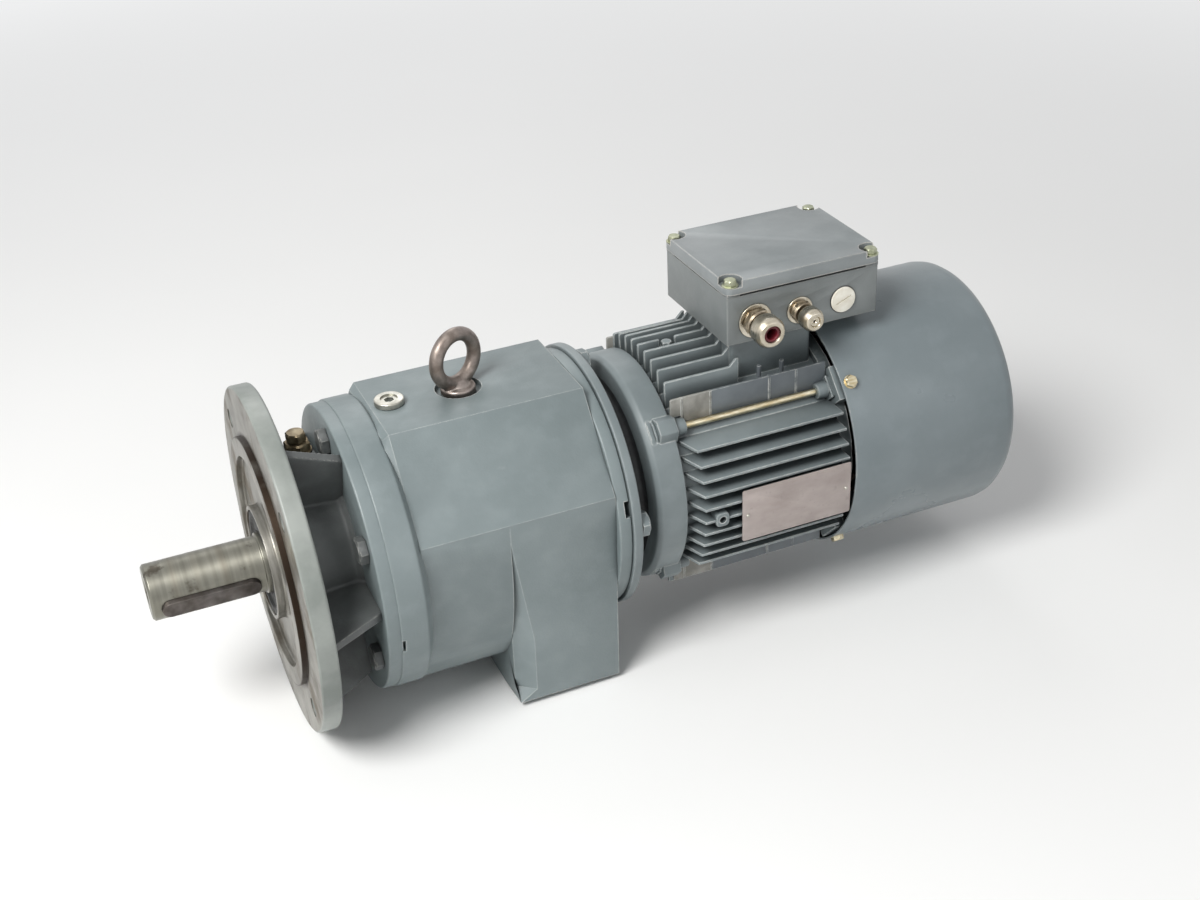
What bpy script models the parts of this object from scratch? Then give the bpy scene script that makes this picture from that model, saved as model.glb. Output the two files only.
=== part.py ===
"""Brake gear motor: flange-mounted helical gearbox, finned motor, spring-applied disc brake and fan.

Metres, +Z up. The origin is the centre of the output flange's mounting face, on the output shaft's
axis. The output shaft points to -X and the fan cowl ends the motor at +X.
"""

import math

import bmesh
import bpy
from mathutils import Matrix, Vector

# Tolerances
GAP = 0.0003
RUN_GAP = 0.0005
SAGITTA = 0.0009
OVERSHOOT = 0.002
MERGE_DISTANCE = 0.00001
SMOOTH_ANGLE = math.radians(35)

# Shaft axes
MOTOR_AXIS_Z = 0.0034
OUTPUT_MODULE = 0.002464
OUTPUT_PINION_TEETH = 12
OUTPUT_GEAR_TEETH = 38
INPUT_PINION_TEETH = 13
INPUT_GEAR_TEETH = 52
HELIX_ANGLE = math.radians(8)
PRESSURE_ANGLE = math.radians(20)
PINION_ADDENDUM = 1.0
GEAR_ADDENDUM = 0.75
TIP_CLEARANCE = 0.25
BACKLASH = 0.0004
INTERMEDIATE_AXIS_Z = -OUTPUT_MODULE * (OUTPUT_PINION_TEETH + OUTPUT_GEAR_TEETH) / 2
INPUT_MODULE = 2 * (MOTOR_AXIS_Z - INTERMEDIATE_AXIS_Z) / (INPUT_PINION_TEETH + INPUT_GEAR_TEETH)

# Output flange casting
FLANGE_RADIUS = 0.125
FLANGE_THICKNESS = 0.014
FLANGE_EDGE = 0.0015
SPIGOT_INSET = 0.035
SPIGOT_RADIUS = FLANGE_RADIUS - SPIGOT_INSET
SPIGOT_HEIGHT = 0.004
SPIGOT_WALL = 0.014
RECESS_RADIUS = SPIGOT_RADIUS - SPIGOT_WALL
RECESS_DEPTH = 0.005
HUB_RADIUS = 0.041
HUB_HEIGHT = 0.0066
FLANGE_HOLE_RADIUS = 0.007
FLANGE_HOLE_INSET = 0.0175
FLANGE_HOLE_CIRCLE = FLANGE_RADIUS - FLANGE_HOLE_INSET
FLANGE_HOLE_COUNT = 4
NECK_RADIUS = 0.058
NECK_BORE = 0.048
NECK_LENGTH = 0.0375
RIB_COUNT = 6
RIB_THICKNESS = 0.006
RIB_FOOT_INSET = 0.008
RIB_FOOT_RADIUS = FLANGE_RADIUS - RIB_FOOT_INSET
RIB_HEAD_RADIUS = 0.097
BREATHER_X = 0.0307
BREATHER_PAD_HALF = 0.012
BREATHER_PAD_Z = 0.080
BREATHER_THREAD_RADIUS = 0.006
BREATHER_THREAD_DEPTH = 0.012
BREATHER_WASHER = 0.002
BREATHER_HEX_RADII = (0.0098, 0.0075)
BREATHER_STEP = 0.007

# Bolting ring and the six bolts
RING_DROP = 0.0045
RING_RADIUS = 0.1045
RING_THICKNESS = 0.009
RING_FRONT_X = FLANGE_THICKNESS + NECK_LENGTH
RING_BACK_X = RING_FRONT_X + RING_THICKNESS
RING_BOLT_COUNT = 6
RING_BOLT_CIRCLE = 0.088
RING_BOLT_ANGLE = math.radians(30)
BOLT_RADIUS = 0.005
BOLT_ACROSS_FLATS = 0.017
BOLT_HEAD_HEIGHT = 0.0064
RING_BOLT_DEPTH = 0.014
PILOT_RADIUS = 0.0792
PILOT_LENGTH = 0.004

# Gearbox housing
HOUSING_FRONT_X = RING_BACK_X + GAP
HOUSING_LENGTH = 0.1642
HOUSING_BACK_X = HOUSING_FRONT_X + HOUSING_LENGTH
HOUSING_RING_RADIUS = 0.1055
HOUSING_RING_LENGTH = 0.0195
HOUSING_EDGE = 0.0042
HOUSING_TOP_Z = 0.100
HOUSING_TOP_HALF = 0.042
HOUSING_FLANK_Z = 0.038
HOUSING_HALF = 0.092
BARREL_CENTRE_Z = 0.025
BARREL_HALF = 0.091
BARREL_DROP = 0.136
BARREL_EXPONENT = 2.5
BARREL_STEPS = 14
SUMP_SET_BACK = 0.0862
SUMP_X = HOUSING_FRONT_X + SUMP_SET_BACK
SUMP_HALF = 0.084
SUMP_BOTTOM_Z = -0.124
SUMP_EDGE = 0.005
SUMP_SHOULDER = 0.8
SUMP_CORNER_LENGTH = 0.013
SUMP_CORNER_DEPTH = 0.011
SUMP_CORNER_TOP_Z = 0.022
SUMP_CORNER_FULL_Z = -0.066
FRONT_CHAMBER_RADIUS = PILOT_RADIUS + GAP
FRONT_CHAMBER_LENGTH = 0.0672
WEB_FRONT_X = HOUSING_FRONT_X + FRONT_CHAMBER_LENGTH
WEB_THICKNESS = 0.027
WEB_BACK_X = WEB_FRONT_X + WEB_THICKNESS
REAR_WALL = 0.007
REAR_CHAMBER_TOP_Z = 0.070
REAR_CHAMBER_TOP_HALF = 0.052
REAR_WALL_OPENING = 0.080
SUMP_WALL = 0.0055
SIDE_WALL = 0.009

# Eye bolt and filler plug
EYE_SET_BACK = 0.0872
EYE_X = HOUSING_FRONT_X + EYE_SET_BACK
EYE_RECESS_RADIUS = 0.0165
EYE_RECESS_DEPTH = 0.004
EYE_COLLAR_RADIUS = 0.0125
EYE_COLLAR_HEIGHT = 0.006
EYE_RING_Z = 0.1225
EYE_RING_RADIUS = 0.018
EYE_BAR_RADIUS = 0.005
EYE_TURN = math.radians(25)
EYE_THREAD_LENGTH = 0.017
EYE_STEPS_AROUND = 28
EYE_STEPS_ACROSS = 8
FILLER_SET_BACK = 0.0372
FILLER_X = HOUSING_FRONT_X + FILLER_SET_BACK
FILLER_COLLAR_RADIUS = 0.0105
FILLER_COLLAR_HEIGHT = 0.004
FILLER_THREAD_RADIUS = 0.008
FILLER_THREAD_LENGTH = 0.014
FILLER_SOCKET_RADIUS = 0.0036
FILLER_SOCKET_DEPTH = 0.006

# Output shaft line
SHAFT_RADIUS = 0.020
SHAFT_FREE_LENGTH = 0.080
SHAFT_CHAMFER = 0.0015
CENTRE_HOLE_MOUTH = 0.0092
CENTRE_HOLE_RADIUS = 0.0068
CENTRE_HOLE_DEPTH = 0.012
SHAFT_END_X = -HUB_HEIGHT - SHAFT_FREE_LENGTH
KEY_WIDTH = 0.012
KEY_HEIGHT = 0.008
KEY_PROUD = 0.003
KEY_LENGTH = 0.068
KEY_INSET = 0.0065
KEY_ANGLE = math.radians(190)
KEY_END_STEPS = 6
SEAL_RADIUS = 0.0375
SEAL_LENGTH = 0.010
SEAL_INSET = 0.001
BEARING_CHAMFER = 0.001
FRONT_BEARING = (0.0225, 0.0425, 0.019)
FRONT_BEARING_X = 0.0165
FRONT_SHOULDER_RADIUS = 0.034
OUTPUT_SHOULDER_RADIUS = 0.027
OUTPUT_GEAR_WIDTH = 0.032
OUTPUT_GEAR_ROOM = 0.006
OUTPUT_GEAR_X = WEB_FRONT_X - OUTPUT_GEAR_ROOM - OUTPUT_GEAR_WIDTH
OUTPUT_GEAR_BORE = 0.022
REAR_BEARING = (0.015, 0.031, 0.016)
REAR_BEARING_X = WEB_FRONT_X + OVERSHOOT
REAR_BEARING_RELIEF = 0.022

# Intermediate shaft line
LOWER_FRONT_BEARING = (0.0075, 0.0175, 0.011)
LOWER_BEARING_INSET = 0.0025
LOWER_FRONT_BEARING_X = RING_BACK_X + LOWER_BEARING_INSET
LOWER_BOSS_WALL = 0.0035
LOWER_REAR_BEARING = (0.010, 0.0235, 0.014)
LOWER_SHAFT_RADIUS = 0.0112
LOWER_RELIEF_RADIUS = 0.015
INPUT_GEAR_ROOM = 0.003
INPUT_GEAR_X = WEB_BACK_X + INPUT_GEAR_ROOM
INPUT_GEAR_WIDTH = 0.020
INPUT_GEAR_BORE = 0.0095
INPUT_PINION_WIDTH = 0.023

# Rear cover and drive-end shield
COVER_RADIUS = 0.097
COVER_THICKNESS = 0.0094
COVER_PILOT_LENGTH = 0.006
COVER_BORE = 0.020
INPUT_SEAL_RADIUS = 0.026
INPUT_SEAL_LENGTH = 0.0096
ADAPTER_BOLT_COUNT = 4
ADAPTER_BOLT_CIRCLE = 0.090
ADAPTER_BOLT_ANGLE = math.radians(176)
ADAPTER_BOLT_DEPTH = 0.006
SHIELD_FLANGE_RADIUS = 0.0995
SHIELD_FLANGE_THICKNESS = 0.007
SHIELD_NECK_INSET = 0.020
SHIELD_NECK_RADIUS = ADAPTER_BOLT_CIRCLE - SHIELD_NECK_INSET
SHIELD_NECK_LENGTH = 0.0145
BARREL_RADIUS = 0.0795
SHIELD_RIM = 0.007
SHIELD_DRUM_RADIUS = BARREL_RADIUS + SHIELD_RIM
SHIELD_DRUM_LENGTH = 0.0265
SHIELD_BORE = 0.027
COVER_BACK_X = HOUSING_BACK_X + GAP + COVER_THICKNESS
SHIELD_FRONT_X = COVER_BACK_X + GAP
SHIELD_NECK_X = SHIELD_FRONT_X + SHIELD_FLANGE_THICKNESS
SHIELD_DRUM_X = SHIELD_NECK_X + SHIELD_NECK_LENGTH
SHIELD_BACK_X = SHIELD_DRUM_X + SHIELD_DRUM_LENGTH
SHIELD_PILOT_LENGTH = 0.004
DRIVE_BEARING = (0.015, 0.031, 0.016)
BEARING_BOSS_WALL = 0.0075

# Stator frame
FRAME_FRONT_X = SHIELD_BACK_X + GAP
FRAME_LENGTH = 0.1277
FRAME_BACK_X = FRAME_FRONT_X + FRAME_LENGTH
FRAME_WALL = 0.0117
BORE_RADIUS = BARREL_RADIUS - FRAME_WALL
FIN_HEIGHT = 0.017
FIN_RADIUS = BARREL_RADIUS + FIN_HEIGHT
FIN_THICKNESS = 0.0026
FIN_SET_BACK = 0.0015
SIDE_FIN_SLANT = 0.0065
FIN_PITCH = 0.0106
SIDE_FIN_PAIRS = 5
TOP_FIN_PITCH = 0.011
TOP_FIN_REACH = 4
TOP_FIN_RISE = 0.0055
PLATE_FIN_STEP = 5
PLATE_FIN_THICKNESS = 0.002
PLATE_FIN_SET_BACK = 0.008
PEDESTAL_LENGTH = 0.066
PEDESTAL_INSET = 0.002
PEDESTAL_END_X = FRAME_BACK_X - PEDESTAL_INSET
PEDESTAL_X = PEDESTAL_END_X - PEDESTAL_LENGTH
PEDESTAL_HALF = 0.037
PEDESTAL_HEIGHT = 0.0251
PEDESTAL_TOP_Z = MOTOR_AXIS_Z + BARREL_RADIUS + PEDESTAL_HEIGHT
NAMEPLATE_SHARE = 0.7
NAMEPLATE_LENGTH = FRAME_LENGTH * NAMEPLATE_SHARE
NAMEPLATE_HEIGHT = 0.0425
NAMEPLATE_DROP = 0.0284
NAMEPLATE_X = FRAME_BACK_X - NAMEPLATE_LENGTH - 2 * GAP
NAMEPLATE_Z = MOTOR_AXIS_Z - NAMEPLATE_DROP
NAMEPLATE_THICKNESS = 0.001
PAD_MARGIN = 0.001
PAD_THICKNESS = 0.0035
EARTH_BOSS_SET_BACK = 0.0217
EARTH_BOSS_X = FRAME_FRONT_X + EARTH_BOSS_SET_BACK
EARTH_BOSS_RADIUS = 0.007

# Tie rods
TIE_ROD_RADIUS = 0.0027
TIE_ROD_CIRCLE = BARREL_RADIUS + TIE_ROD_RADIUS + 2 * GAP
TIE_ROD_ANGLE = math.radians(43.5)
TIE_LUG_LENGTH = 0.013
TIE_LUG_HALF = 0.011
TIE_LUG_HEIGHT = 0.007
TIE_LUG_REACH = SHIELD_DRUM_RADIUS + TIE_LUG_HEIGHT
TIE_COLLAR_RADIUS = 0.0048
TIE_COLLAR_LENGTH = 0.0045
NUT_ACROSS_FLATS = 0.013
NUT_HEIGHT = 0.0065
TIE_THREAD_DEPTH = 0.010

# Electrical parts
CORE_RADIUS = BORE_RADIUS - GAP
CORE_BORE_SHARE = 0.59
CORE_BORE = BORE_RADIUS * CORE_BORE_SHARE
CORE_SET_BACK = 0.0167
CORE_X = FRAME_FRONT_X + CORE_SET_BACK
CORE_END_ROOM = 0.0377
CORE_LENGTH = FRAME_LENGTH - CORE_END_ROOM
SLOT_COUNT = 24
SLOT_DEPTH_SHARE = 0.69
SLOT_BOTTOM = CORE_BORE + (CORE_RADIUS - CORE_BORE) * SLOT_DEPTH_SHARE
SLOT_WIDTH_SHARE = 0.14
SLOT_WIDTH = CORE_BORE * SLOT_WIDTH_SHARE
WINDING_INSET = 0.0035
WINDING_INNER = CORE_BORE + WINDING_INSET
WINDING_OVERHANG = 0.0125
ROTOR_RADIUS = CORE_BORE - RUN_GAP - SAGITTA
ROTOR_CORE_BORE = 0.018

# Brake-end shield and brake
BRAKE_SHIELD_X = FRAME_BACK_X + GAP
BRAKE_SHIELD_PLATE = 0.0087
BRAKE_SHIELD_RIM = 0.0045
BRAKE_SHIELD_RADIUS = BARREL_RADIUS + BRAKE_SHIELD_RIM
BRAKE_FACE_INSET = 0.014
BRAKE_FACE_RADIUS = BRAKE_SHIELD_RADIUS - BRAKE_FACE_INSET
BRAKE_FACE_HEIGHT = 0.005
BRAKE_PILOT_LENGTH = 0.006
BRAKE_SHIELD_BORE = 0.0135
BRAKE_BEARING = (0.0125, 0.026, 0.015)
BRAKE_FACE_X = BRAKE_SHIELD_X + BRAKE_SHIELD_PLATE + BRAKE_FACE_HEIGHT
MAGNET_INSET = 0.0025
MAGNET_RADIUS = BRAKE_FACE_RADIUS - MAGNET_INSET
STUD_COUNT = 3
STUD_RADIUS = 0.0045
STUD_INSET = 0.006
STUD_CIRCLE = MAGNET_RADIUS - STUD_INSET
STUD_ANGLE = math.radians(90)
BRAKE_DISC_CLEARANCE = 0.004
BRAKE_DISC_RADIUS = STUD_CIRCLE - STUD_RADIUS - BRAKE_DISC_CLEARANCE
BRAKE_DISC_THICKNESS = 0.011
LINING_WIDTH = 0.013
LINING_INNER = BRAKE_DISC_RADIUS - LINING_WIDTH
LINING_THICKNESS = 0.003
BRAKE_HUB_HALF = 0.0145
BRAKE_HUB_LENGTH = 0.018
ARMATURE_THICKNESS = 0.010
ARMATURE_BORE = 0.026
AIR_GAP = 0.0009
MAGNET_LENGTH = 0.034
MAGNET_BORE = 0.016
EAR_HALF = 0.013

# Fan and cowl
COWL_SET_BACK = 0.0037
COWL_X = BRAKE_SHIELD_X + COWL_SET_BACK
COWL_LENGTH = 0.144
COWL_RIM = 0.0015
COWL_RADIUS = FIN_RADIUS + COWL_RIM
COWL_THICKNESS = 0.0015
COWL_CORNER = 0.012
CORNER_STEPS = 3
GRILLE_ROWS = 3
GRILLE_PITCH = 0.020
GRILLE_MARGIN = 0.028
GRILLE_SLOT = GRILLE_PITCH / 2
GRILLE_SPOKES = 4
GRILLE_WEB = 0.010
GRILLE_STEPS = 3
FAN_SET_BACK = 0.0185
BRAKE_LENGTH = BRAKE_DISC_THICKNESS + ARMATURE_THICKNESS + MAGNET_LENGTH
FAN_X = BRAKE_FACE_X + BRAKE_LENGTH + FAN_SET_BACK
FAN_HUB_RADIUS = 0.017
FAN_HUB_LENGTH = 0.028
FAN_TIP_ROOM = 0.018
FAN_RADIUS = COWL_RADIUS - FAN_TIP_ROOM
FAN_DISC_THICKNESS = 0.003
FAN_BLADES = 8
FAN_BLADE_THICKNESS = 0.0025
FAN_BLADE_WIDTH = 0.030
FAN_BLADE_ROOT = 0.030

# Rotor shaft: journal radii
PINION_SEAT = 0.007
INPUT_JOURNAL = 0.0125
SEAL_JOURNAL = 0.014
ROTOR_SHOULDER = 0.020
HUB_SEAT = 0.010
FAN_SEAT = 0.0085

# Terminal box
BOX_LENGTH = 0.1228
BOX_LEAD = 0.009
BOX_FRONT_X = PEDESTAL_X - BOX_LEAD
BOX_X = (BOX_FRONT_X, BOX_FRONT_X + BOX_LENGTH)
BOX_HALF = 0.0488
BOX_HEIGHT = 0.0372
BOX_WALL = 0.004
BOX_FLOOR = 0.005
BOX_BOTTOM_Z = PEDESTAL_TOP_Z + GAP
BOX_TOP_Z = BOX_BOTTOM_Z + BOX_HEIGHT
POST_SIZE = 0.010
CABLE_PORT = 0.017
GASKET_THICKNESS = 0.0016
LID_MARGIN = 0.0016
LID_X = (BOX_X[0] - LID_MARGIN, BOX_X[1] + LID_MARGIN)
LID_HALF = BOX_HALF + LID_MARGIN
LID_THICKNESS = 0.0103
LID_EDGE = 0.0015
LID_CORNER = 0.0038
LID_LEDGE = 0.0052
LID_NOTCH = 0.0085
LID_NOTCH_STEPS = 4
LID_SCREW_INSET = (0.0045, 0.0043)
LID_SCREW_RADIUS = 0.0018
LID_SCREW_FLATS = 0.0085
LID_SCREW_HEIGHT = 0.0045
LID_SCREW_DEPTH = 0.010
ENTRY_HEIGHT = 0.0157
ENTRY_Z = BOX_BOTTOM_Z + ENTRY_HEIGHT
ENTRY_INSET = 0.022
ENTRY_PITCH = 0.036
GLAND_HEX_X = (0.0022, 0.0068)
GLAND_RIM = 0.0018
GLAND_TIP = 0.85
GLAND_BODY_SHARE = 0.4
LARGE_GLAND = {"x": BOX_FRONT_X + ENTRY_INSET, "bore": 0.0065, "thread": 0.0092, "body": 0.0110,
               "nut": 0.0132, "reach": 0.0265, "flats": 0.024}
SMALL_GLAND = {"x": BOX_FRONT_X + ENTRY_INSET + ENTRY_PITCH, "bore": 0.0040, "thread": 0.0072, "body": 0.0090,
               "nut": 0.0110, "reach": 0.0235, "flats": 0.0206}
PLUG_X = BOX_FRONT_X + ENTRY_INSET + 2 * ENTRY_PITCH
PLUG_THREAD = 0.0072
PLUG_RADIUS = 0.0100
PLUG_HEIGHT = 0.006
PORT_X = (PEDESTAL_X + PEDESTAL_END_X) / 2
BOARD_LENGTH = BOX_X[1] - BOX_WALL - PORT_X - CABLE_PORT - 2 * OVERSHOOT
BOARD_HALF = 0.020
BOARD_THICKNESS = 0.010
BOARD_STUD = (0.003, 0.009)
BOARD_STUD_SHARE = 0.3

# Finishes: colour, roughness, metallic
PAINT = ((0.23, 0.29, 0.28), 0.45, 0.0)
CAST = ((0.28, 0.29, 0.28), 0.55, 0.4)
STEEL = ((0.52, 0.49, 0.45), 0.35, 1.0)
DARK_STEEL = ((0.20, 0.19, 0.18), 0.5, 0.9)
ZINC = ((0.62, 0.56, 0.42), 0.35, 1.0)
BRASS = ((0.60, 0.45, 0.20), 0.35, 1.0)
NICKEL = ((0.62, 0.58, 0.50), 0.3, 1.0)
COPPER = ((0.55, 0.25, 0.12), 0.4, 0.9)
RUBBER = ((0.03, 0.03, 0.03), 0.8, 0.0)
LINING = ((0.16, 0.13, 0.10), 0.85, 0.0)
DARK_PLASTIC = ((0.06, 0.06, 0.06), 0.5, 0.0)
WHITE_PLASTIC = ((0.75, 0.72, 0.64), 0.5, 0.0)
PLATE = ((0.68, 0.62, 0.58), 0.35, 0.8)


def segments_for(radius):
    """Number of sides, a multiple of four, that keeps each facet within SAGITTA of its circle."""
    return 4 * math.ceil(math.pi / math.sqrt(2 * SAGITTA / radius) / 4)


def bored(radius):
    """Radius of a hole whose facets clear a round piece of this radius by GAP."""
    return radius + GAP + SAGITTA


def polar(radius, angle, centre_z=0.0):
    """Point (y, z) at an angle measured from +Y towards +Z."""
    return (radius * math.cos(angle), centre_z + radius * math.sin(angle))


def circle_angles(count, start):
    return [start + 2 * math.pi * i / count for i in range(count)]


# Mesh builders: each returns one closed bmesh


def skin(rings):
    """Closed surface through rings of points, capped at the first and the last ring."""
    bm = bmesh.new()
    loops = [[bm.verts.new(point) for point in ring] for ring in rings]
    count = len(loops[0])
    for near, far in zip(loops, loops[1:]):
        for i in range(count):
            j = (i + 1) % count
            bm.faces.new((near[i], near[j], far[j], far[i]))
    bm.faces.new(loops[0])
    bm.faces.new(loops[-1])
    bmesh.ops.remove_doubles(bm, verts=bm.verts, dist=MERGE_DISTANCE)
    bmesh.ops.recalc_face_normals(bm, faces=bm.faces)
    return bm


def prism(outline, start_x, end_x):
    """Outline of (y, z) points extruded along X."""
    return skin([[(x, y, z) for y, z in outline] for x in (start_x, end_x)])


def upright(outline, bottom_z, top_z):
    """Outline of (x, y) points extruded along Z."""
    return skin([[(x, y, z) for x, y in outline] for z in (bottom_z, top_z)])


def box(x_range, y_range, z_range):
    """Block between two corners."""
    low, high = y_range
    bottom, top = z_range
    return prism([(low, bottom), (high, bottom), (high, top), (low, top)], *x_range)


def turned(outline, centre_z=0.0, sides=None):
    """Closed outline of (x, r) points revolved about the X direction at the height centre_z."""
    bm = bmesh.new()
    loop = [bm.verts.new((x, radius, 0)) for x, radius in outline]
    edges = [bm.edges.new((loop[i - 1], loop[i])) for i in range(len(loop))]
    count = sides or segments_for(max(radius for _, radius in outline))
    bmesh.ops.spin(bm, geom=loop + edges, cent=(0, 0, 0), axis=(1, 0, 0), angle=2 * math.pi,
                   steps=count, use_merge=True)
    bmesh.ops.remove_doubles(bm, verts=bm.verts, dist=MERGE_DISTANCE)
    loose = [edge for edge in bm.edges if not edge.link_faces]
    bmesh.ops.delete(bm, geom=loose, context="EDGES")
    bmesh.ops.recalc_face_normals(bm, faces=bm.faces)
    bmesh.ops.translate(bm, verts=bm.verts, vec=(0, 0, centre_z))
    return bm


def rod(radius, start_x, end_x, y=0.0, z=0.0, sides=None):
    """Cylinder along X."""
    count = sides or segments_for(radius)
    outline = [(y + radius * math.cos(angle), z + radius * math.sin(angle))
               for angle in circle_angles(count, 0)]
    return prism(outline, start_x, end_x)


def sleeve(inner, outer, start_x, end_x, centre_z=0.0):
    """Tube along X."""
    return turned([(start_x, inner), (start_x, outer), (end_x, outer), (end_x, inner)], centre_z)


def hexagon(across_flats, start_x, end_x, y=0.0, z=0.0):
    """Hexagonal prism along X."""
    return rod(across_flats / math.sqrt(3), start_x, end_x, y, z, sides=6)


def turn_mesh(bm, angle, axis):
    """Rotate a mesh about an axis through the origin."""
    bmesh.ops.transform(bm, verts=bm.verts, matrix=Matrix.Rotation(angle, 4, axis))
    return bm


def stand_up(bm):
    """Turn a mesh made along +X to point to +Z."""
    return turn_mesh(bm, -math.pi / 2, "Y")


def point_near(bm):
    """Turn a mesh made along +X to point to -Y."""
    return turn_mesh(bm, -math.pi / 2, "Z")


def moved(bm, offset):
    bmesh.ops.translate(bm, verts=bm.verts, vec=offset)
    return bm


def gathered(meshes):
    """Several separate closed bodies in one mesh, for use as one tool."""
    result = bmesh.new()
    scratch = bpy.data.meshes.new("gathered")
    for bm in meshes:
        bm.to_mesh(scratch)
        bm.free()
        result.from_mesh(scratch)
    bpy.data.meshes.remove(scratch)
    return result


# Objects


def finish_material(name, finish):
    """Principled material with the piece's colour, roughness and metallic value."""
    colour, roughness, metallic = finish
    material = bpy.data.materials.new(name + "_finish")
    material.use_nodes = True
    shader = material.node_tree.nodes["Principled BSDF"]
    shader.inputs["Base Color"].default_value = (*colour, 1.0)
    shader.inputs["Roughness"].default_value = roughness
    shader.inputs["Metallic"].default_value = metallic
    return material


def add_object(name, mesh, location=(0, 0, 0), parent=None):
    piece = bpy.data.objects.new(name, mesh)
    bpy.context.collection.objects.link(piece)
    piece.location = location
    piece.parent = parent
    return piece


def make_piece(name, bm, finish, location=(0, 0, 0), parent=None):
    """Object from a closed mesh, shaded smooth over its round faces."""
    mesh = bpy.data.meshes.new(name)
    bm.to_mesh(mesh)
    bm.free()
    piece = add_object(name, mesh, location, parent)
    mesh.materials.append(finish_material(name, finish))
    mesh.shade_smooth()
    mesh.set_sharp_from_angle(angle=SMOOTH_ANGLE)
    return piece


def combine(piece, operation, meshes):
    """Apply a Boolean between an object and meshes given in that object's own coordinates."""
    tool_mesh = bpy.data.meshes.new("tool")
    tool_bm = gathered(meshes)
    tool_bm.to_mesh(tool_mesh)
    tool_bm.free()
    tool = add_object("tool", tool_mesh, piece.location, piece.parent)
    modifier = piece.modifiers.new(operation, "BOOLEAN")
    modifier.operation = operation
    modifier.solver = "EXACT"
    modifier.object = tool
    bpy.context.view_layer.update()
    evaluated = piece.evaluated_get(bpy.context.evaluated_depsgraph_get())
    result = bpy.data.meshes.new_from_object(evaluated)
    result.name = piece.name
    piece.modifiers.clear()
    old_mesh = piece.data
    piece.data = result
    bpy.data.meshes.remove(old_mesh)
    bpy.data.objects.remove(tool)
    bpy.data.meshes.remove(tool_mesh)
    tidy_mesh(result)
    return piece


def tidy_mesh(mesh):
    """Merge points that a Boolean leaves on top of each other."""
    bm = bmesh.new()
    bm.from_mesh(mesh)
    bmesh.ops.remove_doubles(bm, verts=bm.verts, dist=MERGE_DISTANCE)
    bmesh.ops.dissolve_degenerate(bm, edges=bm.edges, dist=MERGE_DISTANCE)
    bm.to_mesh(mesh)
    bm.free()


def cut(piece, *meshes):
    return combine(piece, "DIFFERENCE", meshes)


def join(piece, *meshes):
    return combine(piece, "UNION", meshes)


def make_axis(name, z):
    """Empty that carries the pieces turning or sliding on one axis."""
    axis = add_object(name, None, (0, 0, z))
    axis.empty_display_size = FLANGE_RADIUS
    return axis


# Gear teeth


def involute_angle(base_radius, radius):
    """Angle of the involute at a radius; zero inside the base circle."""
    if radius <= base_radius:
        return 0.0
    roll = math.sqrt((radius / base_radius) ** 2 - 1)
    return roll - math.atan(roll)


def tooth_outline(module, teeth, addendum, dedendum, rotation):
    """Gear outline (y, z) whose first tooth is centred at the angle given by rotation."""
    pitch_radius = module * teeth / 2
    base_radius = pitch_radius * math.cos(PRESSURE_ANGLE)
    root_radius = pitch_radius - dedendum * module
    tip_radius = pitch_radius + addendum * module
    half_pitch_tooth = math.pi / (2 * teeth) - BACKLASH / (4 * pitch_radius)
    half_base_tooth = half_pitch_tooth + involute_angle(base_radius, pitch_radius)
    flank_radii = [root_radius, max(base_radius, root_radius), pitch_radius, tip_radius]
    if base_radius <= root_radius + module * TIP_CLEARANCE:
        flank_radii = [root_radius, pitch_radius, tip_radius]
    flank = [(radius, half_base_tooth - involute_angle(base_radius, radius)) for radius in flank_radii]
    outline = []
    for centre in circle_angles(teeth, rotation):
        outline += [polar(radius, centre - offset) for radius, offset in flank]
        outline += [polar(radius, centre + offset) for radius, offset in reversed(flank)]
    return outline


def toothed(module, teeth, addendum, dedendum, start_x, end_x, mesh_x, mesh_angle, hand):
    """Helical teeth; at mesh_x a tooth (hand 1) or a space (hand -1) faces mesh_angle."""
    pitch_radius = module * teeth / 2
    turn_per_length = hand * math.tan(HELIX_ANGLE) / pitch_radius
    first = mesh_angle if hand > 0 else mesh_angle + math.pi / teeth
    rings = []
    for x in (start_x, end_x):
        rotation = first + (x - mesh_x) * turn_per_length
        rings.append([(x, y, z) for y, z in tooth_outline(module, teeth, addendum, dedendum, rotation)])
    return skin(rings)


# Screws and seats


def bolt_mesh(head_flats, head_height, radius, shank):
    """Hexagon bolt along +X; the underside of its head is at x = 0."""
    bm = bmesh.new()
    sides = 12
    head = [polar(head_flats / math.sqrt(3), angle) for angle in circle_angles(6, 0)]
    stem = [polar(radius, angle) for angle in circle_angles(sides, 0)]
    head_back = [bm.verts.new((-head_height, y, z)) for y, z in head]
    head_front = [bm.verts.new((0, y, z)) for y, z in head]
    stem_root = [bm.verts.new((0, y, z)) for y, z in stem]
    stem_end = [bm.verts.new((shank, y, z)) for y, z in stem]
    bm.faces.new(head_back)
    bm.faces.new(stem_end)
    for i in range(6):
        j = (i + 1) % 6
        bm.faces.new((head_back[i], head_back[j], head_front[j], head_front[i]))
        near = [stem_root[(2 * i + k) % sides] for k in range(3)]
        bm.faces.new((head_front[i], head_front[j], near[2], near[1], near[0]))
    for i in range(sides):
        j = (i + 1) % sides
        bm.faces.new((stem_root[i], stem_root[j], stem_end[j], stem_end[i]))
    bmesh.ops.recalc_face_normals(bm, faces=bm.faces)
    return bm


def make_bolts(prefix, bm, finish, positions):
    """Bolts that share one mesh, numbered from 1."""
    first = make_piece(f"{prefix}_1", bm, finish, positions[0])
    for number, position in enumerate(positions[1:], start=2):
        add_object(f"{prefix}_{number}", first.data, position)


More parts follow.
